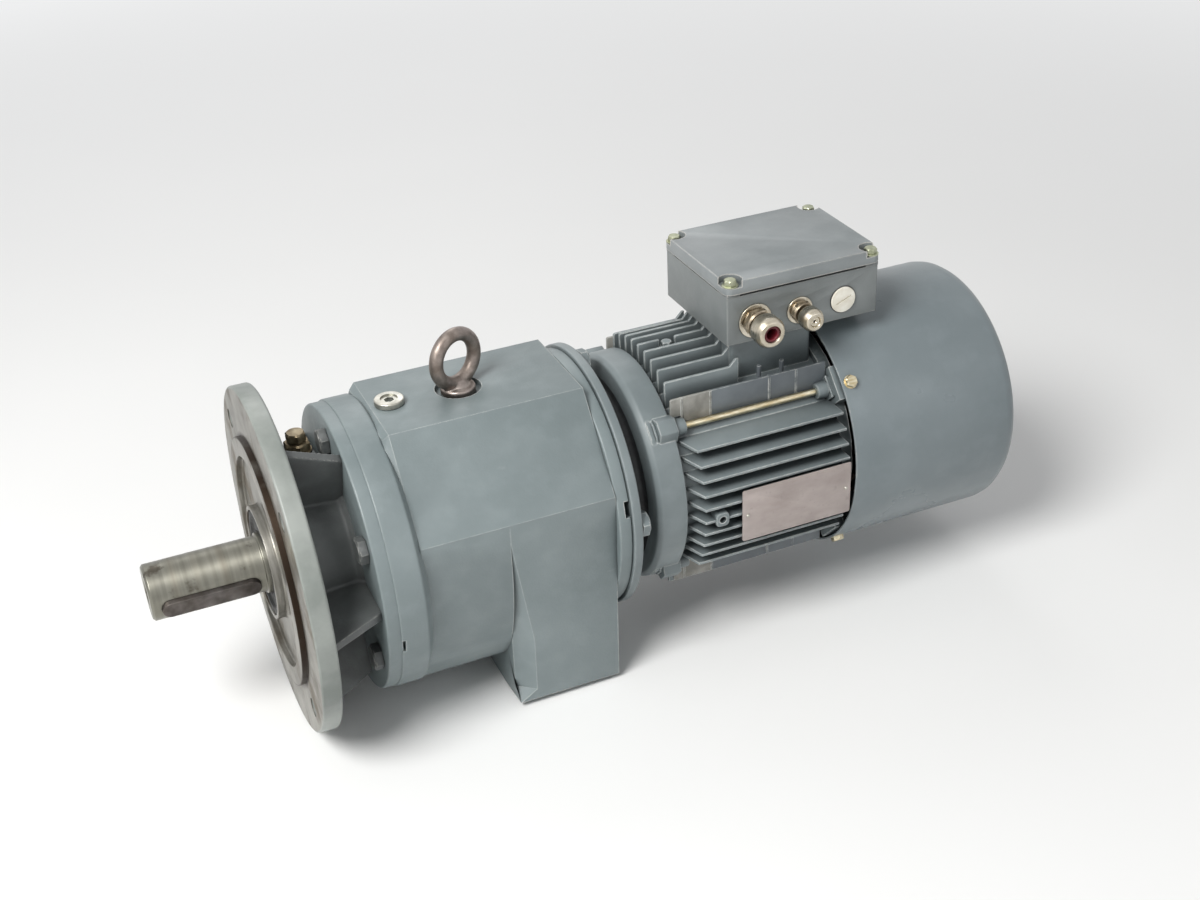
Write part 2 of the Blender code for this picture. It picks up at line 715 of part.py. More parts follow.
def make_bearing(name, sizes, x, z):
    """Sealed ball bearing as one ring, with a chamfer round its outside."""
    bore, outside, width = sizes
    bore = bore - GAP + RUN_GAP
    outline = [(0, bore), (0, outside - BEARING_CHAMFER), (BEARING_CHAMFER, outside),
               (width - BEARING_CHAMFER, outside), (width, outside - BEARING_CHAMFER), (width, bore)]
    make_piece(name, turned(outline), STEEL, (x, 0, z))


def pocket(sizes, start_x, end_x, z=0.0):
    """Cutter for a bearing's seat."""
    return rod(bored(sizes[1]), start_x, end_x, 0, z)


def make_seal(name, inner, outer, length, x, z):
    """Rotary shaft seal with a lip set back between its rims."""
    rim = (outer - inner) / 4
    set_back = length / 5
    outline = [(0, outer - rim), (0, outer), (length, outer), (length, inner), (set_back, inner),
               (set_back, outer - rim)]
    make_piece(name, turned(outline), RUBBER, (x, 0, z))


# Output end


def lower_boss_length():
    return LOWER_FRONT_BEARING_X + LOWER_FRONT_BEARING[2] + GAP - RING_BACK_X


def ring_bolt_positions(x):
    angles = circle_angles(RING_BOLT_COUNT, RING_BOLT_ANGLE)
    return [(x, *polar(RING_BOLT_CIRCLE, angle, -RING_DROP)) for angle in angles]


def make_output_flange():
    """Flange, neck, ribs and bolting ring cast in one piece, bored for seal and bearings."""
    inside_ring = RING_FRONT_X + RING_THICKNESS / 2
    inside_flange = FLANGE_THICKNESS - OVERSHOOT
    body = [
        (-HUB_HEIGHT, 0), (-HUB_HEIGHT, HUB_RADIUS),
        (RECESS_DEPTH - SPIGOT_HEIGHT, HUB_RADIUS), (RECESS_DEPTH - SPIGOT_HEIGHT, RECESS_RADIUS),
        (-SPIGOT_HEIGHT, RECESS_RADIUS), (-SPIGOT_HEIGHT, SPIGOT_RADIUS), (0, SPIGOT_RADIUS),
        (0, FLANGE_RADIUS - FLANGE_EDGE), (FLANGE_EDGE, FLANGE_RADIUS),
        (FLANGE_THICKNESS - FLANGE_EDGE, FLANGE_RADIUS),
        (FLANGE_THICKNESS, FLANGE_RADIUS - FLANGE_EDGE), (FLANGE_THICKNESS, NECK_RADIUS),
        (inside_ring, NECK_RADIUS), (inside_ring, 0),
    ]
    flange = make_piece("output_flange", turned(body), CAST)
    ring = [
        (RING_FRONT_X, 0), (RING_FRONT_X, RING_RADIUS - FLANGE_EDGE),
        (RING_FRONT_X + FLANGE_EDGE, RING_RADIUS), (RING_BACK_X, RING_RADIUS),
        (RING_BACK_X, PILOT_RADIUS), (RING_BACK_X + PILOT_LENGTH, PILOT_RADIUS),
        (RING_BACK_X + PILOT_LENGTH, 0),
    ]
    join(flange, turned(ring, -RING_DROP))
    ribs = []
    for angle in circle_angles(RIB_COUNT, 0):
        slope = (RIB_FOOT_RADIUS - RIB_HEAD_RADIUS) / NECK_LENGTH
        foot = RIB_FOOT_RADIUS + slope * OVERSHOOT
        head = RIB_HEAD_RADIUS - slope * OVERSHOOT
        plate = [(inside_flange, NECK_BORE), (inside_flange, foot),
                 (RING_FRONT_X + OVERSHOOT, head), (RING_FRONT_X + OVERSHOOT, NECK_BORE)]
        rings = [[(x, -side * RIB_THICKNESS / 2, z) for x, z in plate] for side in (1, -1)]
        ribs.append(turn_mesh(skin(rings), angle - math.pi / 2, "X"))
    join(flange, *ribs)
    pad_end = RING_FRONT_X - BOLT_HEAD_HEIGHT - OVERSHOOT
    join(flange, box((inside_flange, pad_end), (-BREATHER_PAD_HALF, BREATHER_PAD_HALF),
                     (NECK_BORE, BREATHER_PAD_Z)))
    boss_radius = LOWER_FRONT_BEARING[1] + LOWER_BOSS_WALL
    join(flange, rod(boss_radius, inside_ring, RING_BACK_X + lower_boss_length(), 0, INTERMEDIATE_AXIS_Z))
    cut_output_flange(flange)


def cut_output_flange(flange):
    """Stepped bore, lower bearing seat and all holes of the output flange."""
    seal_end = -HUB_HEIGHT + SEAL_INSET + SEAL_LENGTH + GAP
    pocket_end = FRONT_BEARING_X + FRONT_BEARING[2] + GAP
    pocket_radius = bored(FRONT_BEARING[1])
    far_x = RING_BACK_X + PILOT_LENGTH + OVERSHOOT
    bore = [
        (-HUB_HEIGHT - OVERSHOOT, 0), (-HUB_HEIGHT - OVERSHOOT, bored(SEAL_RADIUS)),
        (seal_end, bored(SEAL_RADIUS)), (seal_end, FRONT_SHOULDER_RADIUS),
        (FRONT_BEARING_X - GAP, FRONT_SHOULDER_RADIUS), (FRONT_BEARING_X - GAP, pocket_radius),
        (pocket_end, pocket_radius), (pocket_end, NECK_BORE), (far_x, NECK_BORE), (far_x, 0),
    ]
    cut(flange, turned(bore))
    boss_end = RING_BACK_X + lower_boss_length()
    cut(flange, pocket(LOWER_FRONT_BEARING, LOWER_FRONT_BEARING_X - GAP, boss_end + OVERSHOOT,
                       INTERMEDIATE_AXIS_Z))
    holes = [rod(FLANGE_HOLE_RADIUS, -OVERSHOOT, FLANGE_THICKNESS + OVERSHOOT,
                 *polar(FLANGE_HOLE_CIRCLE, angle), sides=16)
             for angle in circle_angles(FLANGE_HOLE_COUNT, math.pi / FLANGE_HOLE_COUNT)]
    holes += [rod(bored(BOLT_RADIUS), RING_FRONT_X - OVERSHOOT, RING_BACK_X + OVERSHOOT, y, z)
              for _, y, z in ring_bolt_positions(0)]
    cut(flange, *holes)
    depth = BREATHER_THREAD_DEPTH + GAP
    thread_hole = stand_up(rod(bored(BREATHER_THREAD_RADIUS), -depth, OVERSHOOT))
    cut(flange, moved(thread_hole, (BREATHER_X, 0, BREATHER_PAD_Z)))


def make_output_shaft(axis):
    """Stepped output shaft with a centre hole and a keyway for a key with round ends."""
    bearing_seat = FRONT_BEARING[0] - RUN_GAP
    gear_seat = OUTPUT_GEAR_BORE - GAP
    rear_seat = REAR_BEARING[0] - RUN_GAP
    collar_x = FRONT_BEARING_X + FRONT_BEARING[2] + RUN_GAP
    gear_end = OUTPUT_GEAR_X + OUTPUT_GEAR_WIDTH
    tail_x = REAR_BEARING_X + REAR_BEARING[2] + OVERSHOOT
    hole_x = SHAFT_END_X + CENTRE_HOLE_MOUTH - CENTRE_HOLE_RADIUS
    outline = [
        (SHAFT_END_X + CENTRE_HOLE_DEPTH, 0), (hole_x, CENTRE_HOLE_RADIUS),
        (SHAFT_END_X, CENTRE_HOLE_MOUTH), (SHAFT_END_X, SHAFT_RADIUS - SHAFT_CHAMFER),
        (SHAFT_END_X + SHAFT_CHAMFER, SHAFT_RADIUS), (-HUB_HEIGHT, SHAFT_RADIUS),
        (-HUB_HEIGHT, bearing_seat), (collar_x, bearing_seat), (collar_x, OUTPUT_SHOULDER_RADIUS),
        (OUTPUT_GEAR_X - GAP, OUTPUT_SHOULDER_RADIUS), (OUTPUT_GEAR_X - GAP, gear_seat),
        (gear_end + OVERSHOOT, gear_seat), (gear_end + OVERSHOOT, rear_seat), (tail_x, rear_seat),
        (tail_x, 0),
    ]
    shaft = make_piece("output_shaft", turned(outline), STEEL, parent=axis)
    key_x = SHAFT_END_X + KEY_INSET
    floor = SHAFT_RADIUS + KEY_PROUD - KEY_HEIGHT
    slot = key_body(KEY_WIDTH / 2 + GAP, key_x - GAP, KEY_LENGTH + 2 * GAP,
                    floor - GAP, SHAFT_RADIUS + KEY_HEIGHT)
    cut(shaft, slot)
    body = key_body(KEY_WIDTH / 2, key_x, KEY_LENGTH, floor, SHAFT_RADIUS + KEY_PROUD)
    make_piece("output_key", body, DARK_STEEL, parent=axis)


def key_body(half_width, start_x, length, inner, outer):
    """Key with round ends, standing out from the shaft at the key angle."""
    outline = []
    for centre, first in ((start_x + length - half_width, -math.pi / 2),
                          (start_x + half_width, math.pi / 2)):
        for i in range(KEY_END_STEPS + 1):
            angle = first + math.pi * i / KEY_END_STEPS
            outline.append((centre + half_width * math.cos(angle), half_width * math.sin(angle)))
    return turn_mesh(upright(outline, inner, outer), KEY_ANGLE - math.pi / 2, "X")


def make_output_gear(axis):
    """Output gear, bored for its seat on the shaft."""
    middle = OUTPUT_GEAR_X + OUTPUT_GEAR_WIDTH / 2
    teeth = toothed(OUTPUT_MODULE, OUTPUT_GEAR_TEETH, GEAR_ADDENDUM, PINION_ADDENDUM + TIP_CLEARANCE,
                    OUTPUT_GEAR_X, OUTPUT_GEAR_X + OUTPUT_GEAR_WIDTH, middle, -math.pi / 2, -1)
    gear = make_piece("output_gear", teeth, STEEL, parent=axis)
    cut(gear, rod(OUTPUT_GEAR_BORE + SAGITTA, OUTPUT_GEAR_X - OVERSHOOT,
                  OUTPUT_GEAR_X + OUTPUT_GEAR_WIDTH + OVERSHOOT))


def make_output_line(axis):
    make_output_shaft(axis)
    make_output_gear(axis)
    make_seal("output_seal", FRONT_BEARING[0] + RUN_GAP - GAP, SEAL_RADIUS, SEAL_LENGTH,
              -HUB_HEIGHT + SEAL_INSET, 0)
    make_bearing("output_bearing_front", FRONT_BEARING, FRONT_BEARING_X, 0)
    make_bearing("output_bearing_rear", REAR_BEARING, REAR_BEARING_X, 0)


# Gearbox housing


def barrel_half():
    """Right half of the barrel's lower outline, from the flank down to the bottom."""
    points = []
    for i in range(BARREL_STEPS + 1):
        angle = math.pi / 2 * i / BARREL_STEPS
        y = BARREL_HALF * math.cos(angle) ** (2 / BARREL_EXPONENT)
        z = BARREL_CENTRE_Z - BARREL_DROP * math.sin(angle) ** (2 / BARREL_EXPONENT)
        points.append((y, z))
    return points


def sump_side(z):
    """Half width of the sump's tapering side at a height."""
    share = (HOUSING_FLANK_Z - z) / (HOUSING_FLANK_Z - SUMP_BOTTOM_Z)
    return HOUSING_HALF + share * (SUMP_HALF - HOUSING_HALF)


def sump_half():
    """Right half of the sump's outline, point for point beside the barrel's."""
    corner_z = SUMP_BOTTOM_Z + SUMP_EDGE
    corner_y = SUMP_HALF - SUMP_EDGE
    points = []
    for y, z in barrel_half():
        if y > corner_y * SUMP_SHOULDER:
            points.append((sump_side(z), z))
        elif not points or points[-1][1] > corner_z:
            points.append((sump_side(corner_z), corner_z))
        else:
            points.append((min(corner_y, points[-1][0] - SUMP_EDGE, max(y, 0.0)), SUMP_BOTTOM_Z))
    points[-1] = (0.0, SUMP_BOTTOM_Z)
    return points


def whole_outline(half):
    """Closed outline from its right half, with the flat top and the slanted flanks added."""
    crown = [(HOUSING_TOP_HALF, HOUSING_TOP_Z), (HOUSING_HALF, HOUSING_FLANK_Z)]
    right = crown + half[:-1]
    left = [(-y, z) for y, z in reversed(right)]
    return right + [half[-1]] + left


def corner_share(z):
    """How much of the sump's full corner facet is left at a height: 0 at its top, 1 below."""
    share = (SUMP_CORNER_TOP_Z - z) / (SUMP_CORNER_TOP_Z - SUMP_CORNER_FULL_Z)
    return min(max(share, 0.0), 1.0)


def housing_rings():
    """Sections of the housing's outside from the barrel's front edge to the rear face."""
    barrel = whole_outline(barrel_half())
    sump = whole_outline(sump_half())
    centre_z = (HOUSING_TOP_Z + SUMP_BOTTOM_Z) / 2
    shrink = 1 - HOUSING_EDGE / HOUSING_TOP_Z
    front_x = HOUSING_FRONT_X + HOUSING_RING_LENGTH
    rings = [[(front_x, y * shrink, centre_z + (z - centre_z) * shrink) for y, z in barrel]]
    rings.append([(front_x + HOUSING_EDGE, y, z) for y, z in barrel])
    rings.append([(SUMP_X, y, z) for y, z in barrel])
    step = []
    full = []
    for (barrel_y, _), (y, z) in zip(barrel, sump):
        share = corner_share(z)
        inward = SUMP_CORNER_DEPTH * share
        on_side = abs(y) > SUMP_HALF - SUMP_EDGE - MERGE_DISTANCE
        inner_y = math.copysign(abs(y) - inward, y) if on_side else y
        lead = MERGE_DISTANCE * 4 + SUMP_CORNER_LENGTH * share if on_side else MERGE_DISTANCE * 4
        step.append((SUMP_X + MERGE_DISTANCE * 2, inner_y, z))
        full.append((SUMP_X + lead, y, z))
    rings.append(step)
    rings.append(full)
    rings.append([(HOUSING_BACK_X, y, z) for y, z in sump])
    return rings


def rear_chamber():
    """Cutter for the chamber that holds the input gear pair."""
    low_z = SUMP_BOTTOM_Z + SUMP_WALL
    upper = sump_side(HOUSING_FLANK_Z) - SIDE_WALL
    lower = sump_side(low_z) - SIDE_WALL + OVERSHOOT
    right = [(REAR_CHAMBER_TOP_HALF, REAR_CHAMBER_TOP_Z), (upper, HOUSING_FLANK_Z - SIDE_WALL),
             (lower, low_z + SUMP_EDGE), (lower - SUMP_EDGE, low_z)]
    outline = right + [(-y, z) for y, z in reversed(right)]
    return prism(outline, WEB_BACK_X, HOUSING_BACK_X - REAR_WALL)


def make_housing():
    """Housing with a web between the output chamber and the input chamber."""
    housing = make_piece("gearbox_housing", skin(housing_rings()), PAINT)
    front_ring = [
        (HOUSING_FRONT_X, 0), (HOUSING_FRONT_X, HOUSING_RING_RADIUS - FLANGE_EDGE),
        (HOUSING_FRONT_X + FLANGE_EDGE, HOUSING_RING_RADIUS),
        (HOUSING_FRONT_X + HOUSING_RING_LENGTH - OVERSHOOT, HOUSING_RING_RADIUS),
        (HOUSING_FRONT_X + HOUSING_RING_LENGTH, HOUSING_RING_RADIUS - OVERSHOOT),
        (HOUSING_FRONT_X + HOUSING_RING_LENGTH + OVERSHOOT, HOUSING_RING_RADIUS - HOUSING_EDGE),
        (HOUSING_FRONT_X + HOUSING_RING_LENGTH + OVERSHOOT, 0),
    ]
    join(housing, turned(front_ring, -RING_DROP))
    cut(housing, rod(FRONT_CHAMBER_RADIUS + SAGITTA, HOUSING_FRONT_X - OVERSHOOT, WEB_FRONT_X,
                     0, -RING_DROP))
    cut(housing, rear_chamber())
    cut(housing, rod(REAR_WALL_OPENING, HOUSING_BACK_X - REAR_WALL - OVERSHOOT,
                     HOUSING_BACK_X + OVERSHOOT, 0, MOTOR_AXIS_Z))
    rear_pocket_end = REAR_BEARING_X + REAR_BEARING[2] + GAP
    lower_pocket_x = WEB_BACK_X - LOWER_REAR_BEARING[2] - 2 * GAP
    cut(housing,
        pocket(REAR_BEARING, WEB_FRONT_X - OVERSHOOT, rear_pocket_end),
        pocket(LOWER_REAR_BEARING, lower_pocket_x, WEB_BACK_X + OVERSHOOT, INTERMEDIATE_AXIS_Z))
    cut(housing,
        rod(REAR_BEARING_RELIEF, rear_pocket_end - OVERSHOOT, WEB_BACK_X + OVERSHOOT),
        rod(LOWER_RELIEF_RADIUS, WEB_FRONT_X - OVERSHOOT, lower_pocket_x + OVERSHOOT,
            0, INTERMEDIATE_AXIS_Z))
    cut_housing_top(housing)
    depth = RING_BOLT_DEPTH + GAP
    cut(housing, *[rod(bored(BOLT_RADIUS), HOUSING_FRONT_X - OVERSHOOT, HOUSING_FRONT_X + depth, y, z)
                   for _, y, z in ring_bolt_positions(0)])


def cut_housing_top(housing):
    """Spot face and thread of the eye bolt, and the filler hole, in the flat top."""
    recess = stand_up(rod(EYE_RECESS_RADIUS, -EYE_RECESS_DEPTH, OVERSHOOT))
    cut(housing, moved(recess, (EYE_X, 0, HOUSING_TOP_Z)))
    seat_z = HOUSING_TOP_Z - EYE_RECESS_DEPTH
    thread = stand_up(rod(bored(EYE_BAR_RADIUS), -EYE_THREAD_LENGTH - GAP, OVERSHOOT))
    filler = stand_up(rod(bored(FILLER_THREAD_RADIUS), -HOUSING_TOP_Z / 2, OVERSHOOT))
    cut(housing, moved(thread, (EYE_X, 0, seat_z)), moved(filler, (FILLER_X, 0, HOUSING_TOP_Z)))


def make_eye_bolt():
    """Ring bolt: torus, tapering foot, collar and thread."""
    seat_z = HOUSING_TOP_Z - EYE_RECESS_DEPTH + GAP
    ring_height = EYE_RING_Z - seat_z
    bm = bmesh.new()
    loops = []
    for angle in circle_angles(EYE_STEPS_AROUND, 0):
        loop = []
        for side in circle_angles(EYE_STEPS_ACROSS, 0):
            radius = EYE_RING_RADIUS + EYE_BAR_RADIUS * math.cos(side)
            loop.append(bm.verts.new((radius * math.cos(angle), EYE_BAR_RADIUS * math.sin(side),
                                      ring_height + radius * math.sin(angle))))
        loops.append(loop)
    for near, far in zip(loops, loops[1:] + loops[:1]):
        for j in range(EYE_STEPS_ACROSS):
            k = (j + 1) % EYE_STEPS_ACROSS
            bm.faces.new((near[j], near[k], far[k], far[j]))
    bmesh.ops.recalc_face_normals(bm, faces=bm.faces)
    eye = make_piece("eye_bolt", bm, DARK_STEEL, (EYE_X, 0, seat_z))
    foot_top = ring_height - EYE_RING_RADIUS + EYE_BAR_RADIUS / 2
    foot = [(-EYE_THREAD_LENGTH, 0), (-EYE_THREAD_LENGTH, EYE_BAR_RADIUS), (0, EYE_BAR_RADIUS),
            (0, EYE_COLLAR_RADIUS), (EYE_COLLAR_HEIGHT, EYE_COLLAR_RADIUS),
            (foot_top, EYE_BAR_RADIUS), (foot_top, 0)]
    join(eye, stand_up(turned(foot)))
    eye.rotation_euler = (0, 0, EYE_TURN)


def make_filler_plug():
    """Screw plug with a hexagon socket."""
    outline = [(-FILLER_THREAD_LENGTH, 0), (-FILLER_THREAD_LENGTH, FILLER_THREAD_RADIUS),
               (0, FILLER_THREAD_RADIUS), (0, FILLER_COLLAR_RADIUS),
               (FILLER_COLLAR_HEIGHT, FILLER_COLLAR_RADIUS), (FILLER_COLLAR_HEIGHT, 0)]
    plug = make_piece("filler_plug", stand_up(turned(outline)), ZINC,
                      (FILLER_X, 0, HOUSING_TOP_Z + GAP))
    socket = rod(FILLER_SOCKET_RADIUS, FILLER_COLLAR_HEIGHT - FILLER_SOCKET_DEPTH,
                 FILLER_COLLAR_HEIGHT + OVERSHOOT, sides=6)
    cut(plug, stand_up(socket))


def make_breather_plug():
    """Vent plug with a washer and two hexagons."""
    wide, narrow = BREATHER_HEX_RADII
    first_top = BREATHER_WASHER + BREATHER_STEP
    outline = [(-BREATHER_THREAD_DEPTH, 0), (-BREATHER_THREAD_DEPTH, BREATHER_THREAD_RADIUS),
               (0, BREATHER_THREAD_RADIUS), (0, wide), (BREATHER_WASHER, wide), (BREATHER_WASHER, 0)]
    plug = make_piece("breather_plug", stand_up(turned(outline)), BRASS,
                      (BREATHER_X, 0, BREATHER_PAD_Z + GAP))
    join(plug, stand_up(rod(wide, BREATHER_WASHER / 2, first_top, sides=6)))
    join(plug, stand_up(rod(narrow, first_top - BREATHER_WASHER, first_top + BREATHER_STEP, sides=6)))


# Intermediate shaft


def make_intermediate_line(axis):
    """Shaft with its integral pinion, the input gear on it and its two bearings."""
    front_seat = LOWER_FRONT_BEARING[0] - RUN_GAP
    rear_seat = LOWER_REAR_BEARING[0] - RUN_GAP
    gear_seat = INPUT_GEAR_BORE - GAP
    front_end = LOWER_FRONT_BEARING_X + LOWER_FRONT_BEARING[2] + RUN_GAP
    rear_x = WEB_BACK_X - LOWER_REAR_BEARING[2] - GAP
    gear_end = INPUT_GEAR_X + INPUT_GEAR_WIDTH
    outline = [
        (LOWER_FRONT_BEARING_X, 0), (LOWER_FRONT_BEARING_X, front_seat), (front_end, front_seat),
        (front_end, LOWER_SHAFT_RADIUS), (rear_x - RUN_GAP, LOWER_SHAFT_RADIUS),
        (rear_x - RUN_GAP, rear_seat), (INPUT_GEAR_X - GAP, rear_seat),
        (INPUT_GEAR_X - GAP, gear_seat), (gear_end + OVERSHOOT, gear_seat), (gear_end + OVERSHOOT, 0),
    ]
    shaft = make_piece("intermediate_shaft", turned(outline), STEEL, parent=axis)
    middle = OUTPUT_GEAR_X + OUTPUT_GEAR_WIDTH / 2
    join(shaft, toothed(OUTPUT_MODULE, OUTPUT_PINION_TEETH, PINION_ADDENDUM,
                        GEAR_ADDENDUM + TIP_CLEARANCE, OUTPUT_GEAR_X,
                        OUTPUT_GEAR_X + OUTPUT_GEAR_WIDTH, middle, math.pi / 2, 1))
    middle = INPUT_GEAR_X + INPUT_GEAR_WIDTH / 2
    gear = make_piece("intermediate_gear",
                      toothed(INPUT_MODULE, INPUT_GEAR_TEETH, GEAR_ADDENDUM,
                              PINION_ADDENDUM + TIP_CLEARANCE, INPUT_GEAR_X, gear_end, middle,
                              math.pi / 2, -1),
                      STEEL, parent=axis)
    cut(gear, rod(INPUT_GEAR_BORE + SAGITTA, INPUT_GEAR_X - OVERSHOOT, gear_end + OVERSHOOT))
    make_bearing("intermediate_bearing_front", LOWER_FRONT_BEARING, LOWER_FRONT_BEARING_X,
                 INTERMEDIATE_AXIS_Z)
    make_bearing("intermediate_bearing_rear", LOWER_REAR_BEARING, rear_x, INTERMEDIATE_AXIS_Z)


# Rear cover and drive-end shield


def adapter_bolt_positions(x):
    angles = circle_angles(ADAPTER_BOLT_COUNT, ADAPTER_BOLT_ANGLE)
    return [(x, *polar(ADAPTER_BOLT_CIRCLE, angle, MOTOR_AXIS_Z)) for angle in angles]


def make_rear_cover():
    """Cover of the input chamber, centred in the rear wall, with the seat of the input seal."""
    seat_x = COVER_BACK_X - INPUT_SEAL_LENGTH - GAP
    pilot_x = HOUSING_BACK_X + GAP - COVER_PILOT_LENGTH
    outline = [
        (pilot_x, COVER_BORE), (pilot_x, REAR_WALL_OPENING - GAP - SAGITTA),
        (HOUSING_BACK_X + GAP, REAR_WALL_OPENING - GAP - SAGITTA), (HOUSING_BACK_X + GAP, COVER_RADIUS),
        (COVER_BACK_X, COVER_RADIUS), (COVER_BACK_X, bored(INPUT_SEAL_RADIUS)),
        (seat_x, bored(INPUT_SEAL_RADIUS)), (seat_x, COVER_BORE),
    ]
    cover = make_piece("rear_cover", turned(outline, MOTOR_AXIS_Z), PAINT)
    cut(cover, *[rod(bored(BOLT_RADIUS), COVER_BACK_X - ADAPTER_BOLT_DEPTH - GAP,
                     COVER_BACK_X + OVERSHOOT, y, z) for _, y, z in adapter_bolt_positions(0)])
    make_seal("input_seal", SEAL_JOURNAL + RUN_GAP + GAP, INPUT_SEAL_RADIUS, INPUT_SEAL_LENGTH,
              seat_x + GAP, MOTOR_AXIS_Z)


def tie_rod_places():
    y, rise = polar(TIE_ROD_CIRCLE, TIE_ROD_ANGLE)
    return [(side * y, MOTOR_AXIS_Z + level * rise) for side in (-1, 1) for level in (1, -1)]


def tie_lugs(start_x, end_x, inner, outer, half_width):
    """Blocks that stand out towards each tie rod."""
    lugs = []
    for y, z in tie_rod_places():
        angle = math.atan2(z - MOTOR_AXIS_Z, y)
        lug = box((start_x, end_x), (-half_width, half_width), (inner, outer))
        turn_mesh(lug, angle - math.pi / 2, "X")
        lugs.append(moved(lug, (0, 0, MOTOR_AXIS_Z)))
    return lugs


def make_drive_end_shield():
    """Bell with the gearbox flange, the neck, the drum with four lugs and the bearing seat."""
    bearing_end = SHIELD_BACK_X - OVERSHOOT
    bearing_x = bearing_end - DRIVE_BEARING[2] - GAP
    boss_radius = DRIVE_BEARING[1] + BEARING_BOSS_WALL
    pilot_radius = BORE_RADIUS - GAP - SAGITTA
    pilot_x = SHIELD_BACK_X + SHIELD_PILOT_LENGTH
    wall = BEARING_BOSS_WALL / 2
    outline = [
        (SHIELD_FRONT_X, SHIELD_BORE), (SHIELD_FRONT_X, SHIELD_FLANGE_RADIUS - FLANGE_EDGE),
        (SHIELD_FRONT_X + FLANGE_EDGE, SHIELD_FLANGE_RADIUS), (SHIELD_NECK_X, SHIELD_FLANGE_RADIUS),
        (SHIELD_NECK_X, SHIELD_NECK_RADIUS), (SHIELD_DRUM_X - OVERSHOOT, SHIELD_NECK_RADIUS),
        (SHIELD_DRUM_X, SHIELD_DRUM_RADIUS - HOUSING_EDGE),
        (SHIELD_DRUM_X + HOUSING_EDGE, SHIELD_DRUM_RADIUS), (SHIELD_BACK_X, SHIELD_DRUM_RADIUS),
        (SHIELD_BACK_X, pilot_radius), (pilot_x, pilot_radius), (pilot_x, pilot_radius - wall),
        (SHIELD_DRUM_X + HOUSING_EDGE + wall, pilot_radius - wall),
        (SHIELD_DRUM_X + HOUSING_EDGE + wall, boss_radius), (bearing_end, boss_radius),
        (bearing_end, bored(DRIVE_BEARING[1])), (bearing_x, bored(DRIVE_BEARING[1])),
        (bearing_x, SHIELD_BORE),
    ]
    shield = make_piece("drive_end_shield", turned(outline, MOTOR_AXIS_Z), PAINT)
    join(shield, *tie_lugs(SHIELD_BACK_X - TIE_LUG_LENGTH, SHIELD_BACK_X - MERGE_DISTANCE,
                           SHIELD_DRUM_RADIUS - TIE_LUG_HALF, TIE_LUG_REACH, TIE_LUG_HALF))
    holes = [rod(bored(TIE_ROD_RADIUS), SHIELD_BACK_X - TIE_THREAD_DEPTH - GAP,
                 SHIELD_BACK_X + OVERSHOOT, y, z) for y, z in tie_rod_places()]
    holes += [rod(bored(BOLT_RADIUS), SHIELD_FRONT_X - OVERSHOOT, SHIELD_NECK_X + OVERSHOOT, y, z)
              for _, y, z in adapter_bolt_positions(0)]
    cut(shield, *holes)
    make_bearing("motor_bearing_drive_end", DRIVE_BEARING, bearing_x + GAP, MOTOR_AXIS_Z)


# Stator frame


def fin_reach(offset):
    """Height over the motor axis of a fin's root and tip, for a fin this far beside the axis."""
    root = math.sqrt((BARREL_RADIUS - OVERSHOOT) ** 2 - offset ** 2)
    tip = math.sqrt(FIN_RADIUS ** 2 - offset ** 2)
    return root, tip


def fin(profile, thickness, quarter_turns, level):
    """Fin from a profile (x, height), turned about the motor axis and moved off it sideways."""
    half = thickness / 2
    bm = skin([[(x, side * half, height) for x, height in profile] for side in (1, -1)])
    turn_mesh(bm, quarter_turns * math.pi / 2, "X")
    offset = (0, level, MOTOR_AXIS_Z) if quarter_turns % 2 == 0 else (0, 0, MOTOR_AXIS_Z + level)
    return moved(bm, offset)


def side_fins():
    """Level fins on both sides; their front ends slant back to the fin circle."""
    fins = []
    start = FRAME_FRONT_X + FIN_SET_BACK
    for pair in range(SIDE_FIN_PAIRS):
        height = FIN_PITCH * (pair + 0.5)
        root, tip = fin_reach(height)
        profile = [(start, root), (start + SIDE_FIN_SLANT, tip), (FRAME_BACK_X, tip),
                   (FRAME_BACK_X, root)]
        for level in (-height, height):
            fins.append(fin(profile, FIN_THICKNESS, 1, level))
            fins.append(fin(profile, FIN_THICKNESS, -1, level))
    return fins


def upright_fins():
    """Upright fins above and below; those in front of the pedestal rise towards it."""
    fins = []
    start = FRAME_FRONT_X + FIN_SET_BACK
    for step in range(-TOP_FIN_REACH, TOP_FIN_REACH + 1):
        y = step * TOP_FIN_PITCH
        root, tip = fin_reach(y)
        plain = [(start, root), (start, tip), (FRAME_BACK_X, tip), (FRAME_BACK_X, root)]
        rising = [(start, root), (start, tip), (PEDESTAL_X - TOP_FIN_RISE, tip),
                  (PEDESTAL_X + OVERSHOOT, tip + TOP_FIN_RISE), (PEDESTAL_X + OVERSHOOT, root)]
        upper = plain if abs(y) > PEDESTAL_HALF else rising
        fins.append(fin(upper, FIN_THICKNESS, 0, y))
        fins.append(fin(plain, FIN_THICKNESS, 2, y))
    return fins


def plate_fins():
    """Thinner, shorter fins beside the tie rods."""
    start = FRAME_FRONT_X + PLATE_FIN_SET_BACK
    y = PLATE_FIN_STEP * TOP_FIN_PITCH
    root, tip = fin_reach(y)
    profile = [(start, root), (start, tip), (FRAME_BACK_X, tip), (FRAME_BACK_X, root)]
    return [fin(profile, PLATE_FIN_THICKNESS, turns, level) for turns in (0, 2) for level in (-y, y)]


